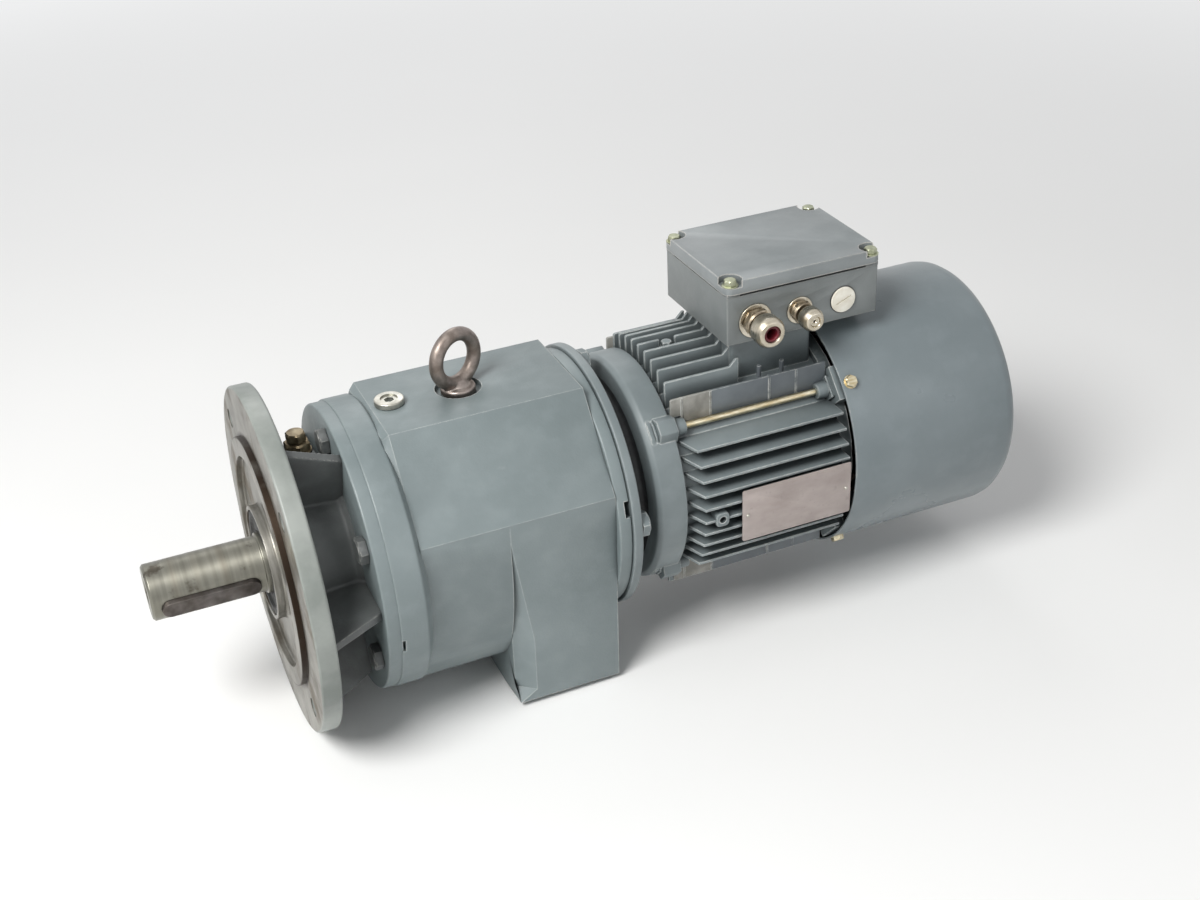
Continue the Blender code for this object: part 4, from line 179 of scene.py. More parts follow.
def rounded(outline, steps=4):
    """Closed outline of (a, b, corner radius) points with an arc in place of each corner."""
    result = []
    for i, (a, b, radius) in enumerate(outline):
        here = Vector((a, b))
        before = Vector(outline[i - 1][:2]) - here
        after = Vector(outline[(i + 1) % len(outline)][:2]) - here
        angle = before.angle(after)
        if radius < TINY or angle > math.pi - 0.02:
            result.append((a, b))
            continue
        reach = min(radius / math.tan(angle / 2), before.length * 0.48, after.length * 0.48)
        before.normalize()
        after.normalize()
        fillet = reach * math.tan(angle / 2)
        centre = here + (before + after).normalized() * fillet / math.sin(angle / 2)
        start = here + before * reach - centre
        turn = start.angle_signed(here + after * reach - centre)
        for k in range(steps + 1):
            spoke = start.copy()
            spoke.rotate(Matrix.Rotation(-turn * k / steps, 2))
            result.append(tuple(centre + spoke))
    return result


def skin(rings, closed=False):
    """Surface through rings of points; the first and last ring are capped unless it is closed."""
    bm = bmesh.new()
    loops = [[bm.verts.new(point) for point in ring] for ring in rings]
    pairs = list(zip(loops, loops[1:]))
    if closed:
        pairs.append((loops[-1], loops[0]))
    for near, far in pairs:
        for i in range(len(near)):
            j = (i + 1) % len(near)
            bm.faces.new((near[i], near[j], far[j], far[i]))
    if not closed:
        bm.faces.new(loops[0])
        bm.faces.new(loops[-1])
    bmesh.ops.remove_doubles(bm, verts=bm.verts, dist=TINY * 5)
    bmesh.ops.recalc_face_normals(bm, faces=bm.faces)
    return bm


def lathe(outline, steps=MEDIUM, centre_z=0.0):
    """Outline of (x, r, corner radius) points revolved about the X direction."""
    return skin([circle(x, radius, steps, z=centre_z) for x, radius in rounded(outline)], closed=True)


def solid_lathe(outline, steps=MEDIUM, centre_z=0.0):
    """As lathe, for an open outline that starts and ends on the axis."""
    inner = [point for point in rounded(outline) if point[1] > TINY]
    ends = (outline[0][0], outline[-1][0])
    path = [(ends[0], TINY * 20)] + inner + [(ends[1], TINY * 20)]
    return skin([circle(x, radius, steps, z=centre_z) for x, radius in path])


def puck(start, end, radii, bevels, steps):
    """Solid round body along +X, from a start radius to an end radius, with rounded rims."""
    return solid_lathe([(start, 0, 0), (start, radii[0], bevels[0]), (end, radii[-1], bevels[-1]),
                        (end, 0, 0)], steps)


def plate(outline, low, high, bevel=0.0, steps=3):
    """Closed (x, y) outline raised from low to high, with its top edge rounded."""
    rings = [[(x, y, low) for x, y in outline]]
    if bevel > 0.0:
        middle = Vector((sum(p[0] for p in outline), sum(p[1] for p in outline))) / len(outline)
        reach = max((Vector(p) - middle).length for p in outline)
        for k in range(steps + 1):
            angle = math.pi / 2 * k / steps
            inset = 1 - bevel * (1 - math.cos(angle)) / reach
            z = high - bevel * (1 - math.sin(angle))
            rings.append([(middle.x + (x - middle.x) * inset, middle.y + (y - middle.y) * inset, z)
                          for x, y in outline])
    else:
        rings.append([(x, y, high) for x, y in outline])
    return skin(rings)


def bevelled(bm, width, segments=2):
    """Round all edges of a mesh."""
    bmesh.ops.bevel(bm, geom=list(bm.edges), offset=width, segments=segments, profile=0.5,
                    affect="EDGES", clamp_overlap=True)
    return bm


def block(x_range, y_range, z_range, bevel=0.0):
    """Box between two corners, with rounded edges."""
    outline = [(y_range[0], z_range[0]), (y_range[1], z_range[0]), (y_range[1], z_range[1]),
               (y_range[0], z_range[1])]
    bm = skin([[(x, y, z) for y, z in outline] for x in x_range])
    if bevel > 0.0:
        bevelled(bm, bevel, 3)
    return bm


def cylinder(radius, start_x, end_x, y=0.0, z=0.0, steps=SMALL):
    return skin([circle(x, radius, steps, y, z) for x in (start_x, end_x)])


def turned(bm, angle, axis):
    bmesh.ops.transform(bm, verts=bm.verts, matrix=Matrix.Rotation(angle, 4, axis))
    return bm


def upward(bm):
    """Turn a mesh made along +X to point to +Z."""
    return turned(bm, -math.pi / 2, "Y")


def nearward(bm):
    """Turn a mesh made along +X to point to -Y."""
    return turned(bm, -math.pi / 2, "Z")


def moved(bm, offset):
    bmesh.ops.translate(bm, verts=bm.verts, vec=offset)
    return bm


def node_middle(node):
    low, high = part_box(node)
    return (low + high) / 2


def gathered(meshes):
    """Several bodies in one mesh."""
    result = bmesh.new()
    scratch = bpy.data.meshes.new("scratch")
    for bm in meshes:
        bm.to_mesh(scratch)
        bm.free()
        result.from_mesh(scratch)
    bpy.data.meshes.remove(scratch)
    return result


# Pieces


def shade(mesh):
    mesh.shade_smooth()
    mesh.set_sharp_from_angle(angle=SMOOTH_ANGLE)


def add_piece(name, bm, material, body="frame", nodes=()):
    """Visible piece on a body; it stands for the CAD nodes named."""
    mesh = bpy.data.meshes.new(name)
    bm.to_mesh(mesh)
    bm.free()
    piece = bpy.data.objects.new(name, mesh)
    bpy.context.scene.collection.objects.link(piece)
    mesh.materials.append(material)
    shade(mesh)
    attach(piece, body)
    if nodes:
        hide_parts(*nodes)
    return piece


def apply_modifiers(piece):
    bpy.context.view_layer.update()
    evaluated = piece.evaluated_get(bpy.context.evaluated_depsgraph_get())
    result = bpy.data.meshes.new_from_object(evaluated)
    piece.modifiers.clear()
    old = piece.data
    piece.data = result
    bpy.data.meshes.remove(old)
    shade(result)
    return piece


def carve(piece, meshes, operation="DIFFERENCE"):
    """Cut or join closed meshes."""
    tool_mesh = bpy.data.meshes.new("tool")
    tool_bm = gathered(meshes)
    tool_bm.to_mesh(tool_mesh)
    tool_bm.free()
    tool = bpy.data.objects.new("tool", tool_mesh)
    bpy.context.scene.collection.objects.link(tool)
    modifier = piece.modifiers.new("carve", "BOOLEAN")
    modifier.operation = operation
    modifier.solver = "EXACT"
    modifier.object = tool
    apply_modifiers(piece)
    bpy.data.objects.remove(tool)
    bpy.data.meshes.remove(tool_mesh)
    return piece


def cast(piece, voxel, rounds):
    """Fuse overlapping bodies into one cast form with soft fillets."""
    remesh = piece.modifiers.new("fuse", "REMESH")
    remesh.mode = "VOXEL"
    remesh.voxel_size = voxel
    smooth = piece.modifiers.new("soften", "SMOOTH")
    smooth.factor = 0.5
    smooth.iterations = rounds
    apply_modifiers(piece)
    piece.data.shade_smooth()


def soften(piece, width, angle=30):
    """Round the edges that are sharper than an angle in degrees."""
    bevel = piece.modifiers.new("soften", "BEVEL")
    bevel.width = width
    bevel.segments = 2
    bevel.limit_method = "ANGLE"
    bevel.angle_limit = math.radians(angle)
    apply_modifiers(piece)


# Materials

EVEN = (1.0, 1.0, 1.0)


class Shader:
    """A Principled material whose colour, roughness and bump come from procedural nodes."""

    def __init__(self, name, roughness=0.5, metallic=0.0):
        self.material = bpy.data.materials.new(name)
        self.material.use_nodes = True
        self.tree = self.material.node_tree
        self.bsdf = self.tree.nodes["Principled BSDF"]
        self.bsdf.inputs["Roughness"].default_value = roughness
        self.bsdf.inputs["Metallic"].default_value = metallic
        self.place = self.add("ShaderNodeTexCoord").outputs["Object"]

    def add(self, kind, inputs=None, **settings):
        """New node with its settings and the values of its input sockets."""
        node = self.tree.nodes.new(kind)
        for key, value in settings.items():
            setattr(node, key, value)
        for key, value in (inputs or {}).items():
            node.inputs[key].default_value = value
        return node

    def link(self, source, target):
        self.tree.links.new(source, target)

    def noise(self, scale, detail=4.0, stretch=EVEN):
        """Noise value over object space, stretched along the axes."""
        mapping = self.add("ShaderNodeMapping", {"Scale": stretch})
        self.link(self.place, mapping.inputs["Vector"])
        noise = self.add("ShaderNodeTexNoise", {"Scale": scale, "Detail": detail, "Roughness": 0.55})
        self.link(mapping.outputs["Vector"], noise.inputs["Vector"])
        return noise.outputs["Fac"]

    def remap(self, value, low, high, to_low=0.0, to_high=1.0):
        node = self.add("ShaderNodeMapRange", {"From Min": low, "From Max": high, "To Min": to_low,
                                               "To Max": to_high})
        self.link(value, node.inputs["Value"])
        return node.outputs["Result"]

    def math(self, operation, first, second):
        node = self.add("ShaderNodeMath", operation=operation)
        for socket, value in zip(node.inputs, (first, second)):
            if isinstance(value, float):
                socket.default_value = value
            else:
                self.link(value, socket)
        return node.outputs["Value"]

    def mix(self, factor, first, second):
        """Colour between two colours or colour outputs."""
        node = self.add("ShaderNodeMix", data_type="RGBA")
        self.link(factor, node.inputs["Factor"])
        for socket, value in ((node.inputs[6], first), (node.inputs[7], second)):
            if isinstance(value, tuple):
                socket.default_value = (*value, 1.0)
            else:
                self.link(value, socket)
        return node.outputs[2]

    def axis(self, name):
        """One coordinate of the point, in metres."""
        split = self.add("ShaderNodeSeparateXYZ")
        self.link(self.place, split.inputs["Vector"])
        return split.outputs[name]

    def openness(self, distance):
        """1 where nothing stands close above the surface, lower in corners and crevices."""
        occlusion = self.add("ShaderNodeAmbientOcclusion", {"Distance": distance}, samples=4)
        return occlusion.outputs["AO"]

    def edges(self, radius):
        """Value that rises from 0 on flat places to 1 on edges, inner corners included."""
        bevel = self.add("ShaderNodeBevel", {"Radius": radius}, samples=6)
        geometry = self.add("ShaderNodeNewGeometry")
        dot = self.add("ShaderNodeVectorMath", operation="DOT_PRODUCT")
        self.link(bevel.outputs["Normal"], dot.inputs[0])
        self.link(geometry.outputs["Normal"], dot.inputs[1])
        return self.remap(dot.outputs["Value"], 0.995, 0.93)

    def colour(self, value):
        self.link(value, self.bsdf.inputs["Base Color"])

    def roughness(self, value):
        self.link(value, self.bsdf.inputs["Roughness"])

    def bump(self, height, distance, strength=1.0):
        node = self.add("ShaderNodeBump", {"Strength": strength, "Distance": distance})
        self.link(height, node.inputs["Height"])
        self.link(node.outputs["Normal"], self.bsdf.inputs["Normal"])


def painted(name, base, dark, bare, roughness=0.42, wear_and_highlight=0.5, cast_grain=0.0, reach=0.006):
    """Machine paint: cloudy colour, painted shade in corners and crevices, outer edges rubbed bare in
    places and lightened all along as a painted highlight, and a fine skin.
    """
    shader = Shader(name, roughness)
    clouds = shader.remap(shader.noise(14.0, 5.0), 0.30, 0.72)
    dust = shader.remap(shader.noise(55.0, 6.0), 0.48, 0.78)
    colour = shader.mix(clouds, dark, base)
    pale = tuple(min(1.0, channel * 1.18) for channel in base)
    colour = shader.mix(shader.math("MULTIPLY", dust, 0.35), colour, pale)
    # Painted shade: the colour darkens towards a dim tone where ambient occlusion finds corners, crevices
    # and narrow gaps.
    openness = shader.openness(reach)
    painted_shade_colour = tuple(channel * 0.35 for channel in dark)
    colour = shader.mix(shader.remap(openness, 0.80, 0.35, 0.0, 0.75), colour, painted_shade_colour)
    # The chip mask has a floor, so every free outer edge is lightened along its whole length: partly
    # rubbed paint, partly a painted highlight.
    chips = shader.remap(shader.noise(160.0, 5.0), 0.60 - wear_and_highlight * 0.25, 0.74 - wear_and_highlight * 0.2,
                         0.55 * wear_and_highlight, 1.0)
    free = shader.remap(shader.openness(0.004), 0.72, 0.90)
    outer = shader.math("MULTIPLY", shader.edges(0.0013), free)
    worn = shader.math("MULTIPLY", outer, chips)
    rubs = shader.remap(shader.noise(22.0, 8.0, (1.0, 1.0, 2.5)), 0.70, 0.78)
    worn = shader.math("MAXIMUM", worn, shader.math("MULTIPLY", rubs, 0.30 * wear_and_highlight))
    shader.colour(shader.mix(worn, colour, bare))
    shader.roughness(shader.remap(clouds, 0.0, 1.0, roughness + 0.08, roughness - 0.06))
    grain = shader.noise(620.0, 3.0)
    if cast_grain > 0.0:
        coarse = shader.noise(190.0, 6.0)
        grain = shader.math("ADD", shader.math("MULTIPLY", coarse, 1.0 + cast_grain), grain)
    shader.bump(grain, 0.00012 + 0.00012 * cast_grain, 0.6)
    return shader.material


def bare_metal(name, base, dark, roughness, line_scale, stain, lines=EVEN):
    """Machined or plated metal with fine tool lines, stains and dulled patches."""
    shader = Shader(name, roughness, metallic=1.0)
    tool = shader.noise(line_scale, 3.0, lines)
    patches = shader.remap(shader.noise(30.0, 6.0), 0.40, 0.70)
    colour = shader.mix(shader.remap(tool, 0.35, 0.65), dark, base)
    brown = (base[0] * 0.55, base[1] * 0.47, base[2] * 0.36)
    colour = shader.mix(shader.math("MULTIPLY", patches, stain), colour, brown)
    shader.colour(colour)
    shader.roughness(shader.remap(patches, 0.0, 1.0, roughness, roughness + 0.18))
    shader.bump(tool, 0.00004, 0.7)
    return shader.material


def dull(name, base, dark, roughness=0.7, scale=120.0, depth=0.0001):
    """Rubber, plastic or lining: mottled, slightly grained."""
    shader = Shader(name, roughness)
    mottle = shader.remap(shader.noise(scale, 5.0), 0.35, 0.7)
    shader.colour(shader.mix(mottle, dark, base))
    shader.roughness(shader.remap(mottle, 0.0, 1.0, roughness + 0.08, roughness - 0.08))
    shader.bump(shader.noise(scale * 6, 3.0), depth, 0.5)
    return shader.material


def flange_finish():
    """Painted rim and back; the machined face and spigot are bare and oiled, with a dark brown, patchy
    painted shadow along the spigot step.
    """
    shader = Shader("flange_finish", 0.42)
    paint = shader.mix(shader.remap(shader.noise(18.0, 5.0), 0.35, 0.65), (0.17, 0.19, 0.175),
                       (0.31, 0.33, 0.31))
    tool = shader.noise(40.0, 4.0, (8.0, 1.0, 1.0))
    steel = shader.mix(shader.remap(tool, 0.35, 0.65), (0.165, 0.158, 0.138), (0.300, 0.290, 0.262))
    stains = shader.remap(shader.noise(26.0, 7.0), 0.50, 0.66)
    steel = shader.mix(shader.math("MULTIPLY", stains, 0.75), steel, (0.12, 0.095, 0.065))
    squares = [shader.math("MULTIPLY", shader.axis(name), shader.axis(name)) for name in "YZ"]
    radius = shader.math("SQRT", shader.math("ADD", squares[0], squares[1]), 0.0)
    # Painted shadow: a dark brown, patchy band where the raised spigot meets the face.
    step = shader.math("MULTIPLY", shader.remap(radius, 0.0885, 0.0895),
                       shader.remap(radius, 0.0935, 0.0905))
    step = shader.math("MULTIPLY", step, shader.remap(shader.noise(30.0, 5.0), 0.25, 0.45, 0.55, 1.0))
    steel = shader.mix(step, steel, (0.030, 0.020, 0.013))
    back = shader.remap(shader.axis("X"), 0.0004, 0.0010)
    outer = shader.remap(radius, 0.1228, 0.1242)
    hidden = shader.math("MULTIPLY", back, shader.remap(radius, 0.0775, 0.0785))
    is_paint = shader.math("MAXIMUM", hidden, outer)
    chips = shader.remap(shader.noise(120.0, 6.0), 0.50, 0.60)
    worn = shader.math("MULTIPLY", shader.edges(0.0018), chips)
    is_paint = shader.math("MULTIPLY", is_paint, shader.math("SUBTRACT", 1.0, worn))
    shader.colour(shader.mix(is_paint, steel, paint))
    shader.link(shader.remap(is_paint, 0.0, 1.0, 0.85, 0.0), shader.bsdf.inputs["Metallic"])
    shader.roughness(shader.remap(stains, 0.0, 1.0, 0.38, 0.55))
    shader.bump(shader.math("ADD", tool, shader.noise(240.0, 5.0)), 0.0001, 0.6)
    return shader.material


def shaft_finish():
    """Turned steel with bands worn around the shaft and brown oil stains."""
    shader = Shader("shaft_finish", 0.33, metallic=1.0)
    bands = shader.noise(1.0, 4.0, (260.0, 9.0, 9.0))
    broad = shader.noise(1.0, 3.0, (70.0, 3.0, 3.0))
    colour = shader.mix(shader.remap(bands, 0.2, 0.8), (0.165, 0.160, 0.132), (0.285, 0.278, 0.238))
    colour = shader.mix(shader.remap(broad, 0.50, 0.72, 0.0, 0.7), colour, (0.150, 0.135, 0.105))
    spots = shader.remap(shader.noise(70.0, 8.0), 0.60, 0.68)
    colour = shader.mix(shader.math("MULTIPLY", spots, 0.7), colour, (0.060, 0.046, 0.033))
    shader.colour(colour)
    shader.roughness(shader.remap(broad, 0.3, 0.7, 0.27, 0.46))
    shader.bump(bands, 0.00003, 0.7)
    return shader.material


def nameplate_finish():
    """Blank rating plate: pinkish silver with rubbed and dull places."""
    shader = Shader("nameplate_finish", 0.38, metallic=0.35)
    rub = shader.remap(shader.noise(30.0, 5.0, (1.0, 1.0, 2.0)), 0.30, 0.72)
    colour = shader.mix(rub, (0.34, 0.29, 0.27), (0.47, 0.41, 0.39))
    dirt = shader.remap(shader.noise(260.0, 7.0), 0.60, 0.72)
    shader.colour(shader.mix(shader.math("MULTIPLY", dirt, 0.35), colour, (0.26, 0.23, 0.21)))
    shader.roughness(shader.remap(rub, 0.0, 1.0, 0.5, 0.36))
    shader.bump(shader.noise(700.0, 3.0), 0.00003, 0.5)
    return shader.material


def plate_paint():
    """Dark blue-grey paint that has worn to brownish grey at the front end."""
    shader = Shader("plate_paint", 0.42)
    clouds = shader.remap(shader.noise(20.0, 5.0), 0.35, 0.68)
    colour = shader.mix(clouds, (0.105, 0.120, 0.132), (0.165, 0.187, 0.200))
    rubbed = shader.mix(shader.remap(shader.noise(70.0, 6.0), 0.4, 0.65), (0.19, 0.185, 0.165),
                        (0.30, 0.295, 0.27))
    place = shader.math("ADD", shader.axis("X"), shader.math("MULTIPLY", shader.noise(90.0, 3.0), 0.004))
    colour = shader.mix(shader.remap(place, 0.3195, 0.3185), colour, rubbed)
    patches = shader.remap(shader.noise(160.0, 4.0), 0.35, 0.55)
    worn = shader.math("MULTIPLY", shader.edges(0.0009), patches)
    shader.colour(shader.mix(worn, colour, (0.46, 0.47, 0.45)))
    shader.roughness(shader.remap(clouds, 0.0, 1.0, 0.48, 0.36))
    shader.bump(shader.noise(400.0, 4.0), 0.0001, 0.5)
    return shader.material


def layered(name, base, dark, period, axis, roughness=0.45, metallic=0.8):
    """Stacked sheets or wound wire: fine stripes along one axis."""
    shader = Shader(name, roughness, metallic)
    wave = shader.math("SINE", shader.math("MULTIPLY", shader.axis(axis), 2 * math.pi / period), 0.0)
    stripe = shader.remap(wave, -1.0, 1.0)
    colour = shader.mix(stripe, dark, base)
    shader.colour(shader.mix(shader.remap(shader.noise(60.0, 5.0), 0.5, 0.8, 0.0, 0.5), colour, dark))
    shader.bump(stripe, 0.0001, 0.5)
    return shader.material


PAINT_BASE = (0.208, 0.245, 0.251)
PAINT_DARK = (0.158, 0.192, 0.197)
PAINT_BARE = (0.52, 0.54, 0.52)
GEAR_PAINT = painted("gear_paint", PAINT_BASE, PAINT_DARK, PAINT_BARE, 0.40, 0.8, cast_grain=0.5)
# Its long occlusion reach paints shade deep into the gaps between the fins.
MOTOR_PAINT = painted("motor_paint", (0.210, 0.243, 0.250), (0.148, 0.176, 0.183), (0.60, 0.62, 0.60),
                      0.42, 0.9, reach=0.022)
BOX_PAINT = painted("box_paint", (0.200, 0.216, 0.216), (0.140, 0.155, 0.155), (0.46, 0.44, 0.40),
                    0.44, 0.8, cast_grain=0.3)
PLATE_PAINT = plate_paint()
LID_PAINT = painted("lid_paint", (0.250, 0.270, 0.276), (0.18, 0.20, 0.205),
                    (0.56, 0.54, 0.50), 0.38, 1.0)
COWL_PAINT = painted("cowl_paint", (0.190, 0.222, 0.235), (0.155, 0.186, 0.198), (0.50, 0.49, 0.45),
                     0.30, 0.35)
# Darker copy of the gear paint: painted shade for the flange's neck, ribs and pad and the ring's bolts.
SHADED_CAST_PAINT = painted("shaded_cast_paint", (0.150, 0.162, 0.160), (0.070, 0.074, 0.074), (0.40, 0.39, 0.36),
                     0.48, 0.6, cast_grain=1.0)
FLANGE = flange_finish()
SHAFT = shaft_finish()
KEY = bare_metal("key_finish", (0.170, 0.155, 0.148), (0.080, 0.071, 0.067),
                  0.4, 90.0, 0.4)
IRON = bare_metal("iron_finish", (0.36, 0.315, 0.29), (0.20, 0.17, 0.155),
                  0.40, 140.0, 0.5)
YELLOW_ZINC = bare_metal("yellow_zinc_finish", (0.74, 0.69, 0.53), (0.50, 0.41, 0.24),
                  0.28, 120.0, 0.35, (1.0, 5.0, 5.0))
ZINC = bare_metal("zinc_finish", (0.58, 0.57, 0.52), (0.38, 0.38, 0.34),
                  0.34, 160.0, 0.3)
BRASS = bare_metal("brass_finish", (0.36, 0.31, 0.22), (0.11, 0.088, 0.06),
                  0.38, 150.0, 0.7)
NICKEL = bare_metal("nickel_finish", (0.68, 0.63, 0.53), (0.48, 0.43, 0.34),
                  0.24, 110.0, 0.35, (1.0, 4.0, 1.0))
DARK_NICKEL = bare_metal("dark_nickel_finish", (0.44, 0.38, 0.29), (0.15, 0.12, 0.085),
                  0.34, 170.0, 0.6, (1.0, 3.0, 1.0))
GEAR_STEEL = bare_metal("gear_steel_finish", (0.42, 0.41, 0.39), (0.26, 0.25, 0.24),
                  0.3, 80.0, 0.2, (6.0, 1.0, 1.0))
RUBBER = dull("rubber_finish", (0.035, 0.034, 0.033), (0.015, 0.015, 0.015), 0.62)
GASKET = dull("gasket_finish", (0.045, 0.045, 0.045), (0.012, 0.012, 0.012), 0.75)
RED_RUBBER = dull("red_rubber_finish", (0.17, 0.012, 0.02), (0.05, 0.004, 0.008), 0.5)
CREAM = dull("cream_plastic_finish", (0.84, 0.82, 0.74), (0.68, 0.64, 0.54), 0.42)
BLACK_PLASTIC = dull("black_plastic_finish", (0.05, 0.05, 0.05), (0.025, 0.025, 0.025), 0.5)
LINING = dull("lining_finish", (0.15, 0.12, 0.09), (0.07, 0.055, 0.045), 0.85)
NAMEPLATE = nameplate_finish()
CORE = layered("core_finish", (0.30, 0.29, 0.28), (0.12, 0.115, 0.11), 0.002, "X")
WINDING = layered("winding_finish", (0.55, 0.24, 0.10), (0.25, 0.09, 0.035), 0.0018, "X", 0.35)
GREEN_ZINC = bare_metal("green_zinc_finish", (0.50, 0.52, 0.39), (0.32, 0.34, 0.24),
                  0.36, 150.0, 0.3)
# Near-black for the shield's neck: painted shadow in the gap behind the flange, with some grime.
NECK_SHADE_AND_GRIME = dull("neck_shade_and_grime_finish", (0.030, 0.033, 0.034), (0.008, 0.008, 0.009), 0.6, 60.0, 0.0002)


# Screws


def hex_head(across_flats, height):
    """Hexagon along +X from x = 0, the corners of its end turned off by a cone."""
    corner = across_flats / math.sqrt(3)
    turned_radius = across_flats * 0.465
    rings = []
    for x, limit in ((0.0, corner), (height * 0.82, corner), (height, turned_radius)):
        ring = []
        for angle in circle_angles(72):
            flat_radius = across_flats / 2 / math.cos(angle % (math.pi / 3) - math.pi / 6)
            radius = min(flat_radius, limit)
            ring.append((x, radius * math.cos(angle), radius * math.sin(angle)))
        rings.append(ring)
    return skin(rings)


def hex_bolt(across_flats, height, shank_radius, shank):
    """Bolt along +X: head in front of x = 0 with a washer face, shank behind it."""
    head = turned(hex_head(across_flats, height), math.pi, "Z")
    face = cylinder(across_flats * 0.47, -height * 0.06, 0.0)
    stem = cylinder(shank_radius, -height * 0.2, shank)
    return gathered([head, face, stem])


def bolt_set(prefix, bm, material, count, seat_at_high_x=True):
    """A bolt on each numbered node, its head's underside at the node's own seat."""
    mesh = bpy.data.meshes.new(prefix)
    bm.to_mesh(mesh)
    bm.free()
    mesh.materials.append(material)
    shade(mesh)
    head = -min(vertex.co.x for vertex in mesh.vertices)
    for number in range(1, count + 1):
        node = f"{prefix}_{number}"
        low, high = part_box(node)
        piece = bpy.data.objects.new(f"{node}_head", mesh)
        bpy.context.scene.collection.objects.link(piece)
        piece.location = node_middle(node)
        if seat_at_high_x:
            piece.location.x = low.x + head
        else:
            piece.location.x = high.x - head
            piece.rotation_euler = (0, 0, math.pi)
        piece.rotation_euler.x = math.radians(17 * number)
        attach(piece, "frame")
        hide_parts(node)


# Output end


def output_flange():
    """Machined disc with spigot, recess and hub, and the cast neck, ribs and bolting ring."""
    rim = FLANGE_HIGH.z
    disc = lathe([
        (HUB_X, SEAL_SEAT, EDGE), (HUB_X, HUB_RADIUS, EDGE), (RECESS_X, HUB_RADIUS, 0.002),
        (RECESS_X, RECESS_RADIUS, 0.0015), (SPIGOT_X, RECESS_RADIUS, EDGE),
        (SPIGOT_X, SPIGOT_RADIUS, EDGE), (0.0, SPIGOT_RADIUS, EDGE / 2), (0.0, rim, 0.0016),
        (FLANGE_THICKNESS, rim, 0.0022), (FLANGE_THICKNESS, SEAL_SEAT + 0.012, 0.0),
        (FLANGE_THICKNESS / 2, SEAL_SEAT, 0.0),
    ], FINE)
    piece = add_piece("flange_disc", disc, FLANGE, nodes=["output_flange"])
    holes = []
    for angle in circle_angles(4, math.pi / 4):
        y, z = MOUNT_HOLE_CIRCLE * math.cos(angle), MOUNT_HOLE_CIRCLE * math.sin(angle)
        holes.append(cylinder(MOUNT_HOLE_RADIUS, -0.01, FLANGE_THICKNESS + 0.01, y, z, 40))
    carve(piece, holes)
    inside = FLANGE_THICKNESS - 0.003
    behind = RING_X + 0.003
    neck = lathe([(inside, NECK_RADIUS - 0.012, 0), (inside, NECK_RADIUS + 0.003, 0),
                  (RING_X - 0.004, NECK_RADIUS - 0.001, 0), (behind, NECK_RADIUS + 0.004, 0),
                  (behind, NECK_RADIUS - 0.012, 0)], MEDIUM)
    ring = lathe([(RING_X, 0.045, 0), (RING_X, RING_RADIUS, 0.0015), (RING_OVERLAP_X, RING_RADIUS, 0.0002),
                  (RING_OVERLAP_X, 0.045, 0)], FINE, -RING_DROP)
    bodies = [neck]
    for angle in RIB_ANGLES:
        outline = [(inside, 0.050), (inside, RIB_FOOT_RADIUS), (FLANGE_THICKNESS, RIB_FOOT_RADIUS),
                   (RING_X, RIB_HEAD_RADIUS), (behind, RIB_HEAD_RADIUS - 0.002), (behind, 0.050)]
        rings = []
        for side in (1, -1):
            rings.append([(x, side * (RIB_THICKNESS / 2 + (0.11 - r) * 0.02), r) for x, r in outline])
        bodies.append(turned(skin(rings), angle - math.pi / 2, "X"))
    bodies.append(block((inside, PAD_END_X), (-PAD_HALF, PAD_HALF), (0.050, PAD_TOP_Z), 0.002))
    # The neck, ribs and pad take the darker paint as painted shade; the ring keeps the gear paint.
    casting = add_piece("flange_casting", gathered(bodies), SHADED_CAST_PAINT, nodes=["output_flange"])
    cast(casting, 0.0009, 4)
    add_piece("flange_ring", ring, GEAR_PAINT, nodes=["output_flange"])


def shaft_and_key():
    """Output shaft with chamfers, centre hole and keyway, its key and the oil seal."""
    end_x = SHAFT_LOW.x
    radius = SHAFT_RADIUS
    outline = [
        (end_x + 0.012, 0.0, 0), (end_x + 0.010, 0.0062, 0), (end_x + 0.0025, 0.0068, 0),
        (end_x, 0.0092, 0.0003), (end_x, radius - 0.0016, 0.0002), (end_x + 0.0015, radius, EDGE),
        (HUB_X - 0.001, radius, 0.0008), (HUB_X - 0.001, 0.0218, 0.0006), (0.0355, 0.0218, 0),
        (0.0355, 0.0, 0),
    ]
    front = solid_lathe(outline, 96)
    shaft = add_piece("shaft_front", front, SHAFT, "output", ["output_shaft"])
    low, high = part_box("output_key")
    key = plate(stadium(low.x, high.x, KEY_HALF), 0.0155, 0.023, 0.0005)
    turned(key, KEY_ANGLE - math.pi / 2, "X")
    slot = plate(stadium(low.x - GAP, high.x + GAP, KEY_HALF + GAP), 0.0148, 0.03)
    turned(slot, KEY_ANGLE - math.pi / 2, "X")
    carve(shaft, [slot])
    add_piece("shaft_key", key, KEY, "output", ["output_key"])
    seal = lathe([(HUB_X + 0.001, 0.0375, 0.0004), (HUB_X + 0.001, 0.0335, 0.0006),
                  (HUB_X + 0.0028, 0.0320, 0.001), (HUB_X + 0.0034, 0.0270, 0.001),
                  (HUB_X + 0.0016, 0.0236, 0.0006), (HUB_X + 0.0026, 0.0224, 0.0003),
                  (HUB_X + 0.0085, 0.0226, 0.0004), (HUB_X + 0.0105, 0.0375, 0.0004)], 96)
    add_piece("shaft_seal", seal, RUBBER, nodes=["output_seal"])
    rear = solid_lathe([(0.0357, 0.0, 0), (0.0357, 0.027, EDGE), (0.0894, 0.027, EDGE),
                        (0.0894, 0.0215, EDGE), (0.124, 0.0215, EDGE), (0.124, 0.0144, EDGE),
                        (SHAFT_HIGH.x, 0.0144, 0.001), (SHAFT_HIGH.x, 0.0, 0)], MEDIUM)
    add_piece("shaft_rear", rear, GEAR_STEEL, "output")


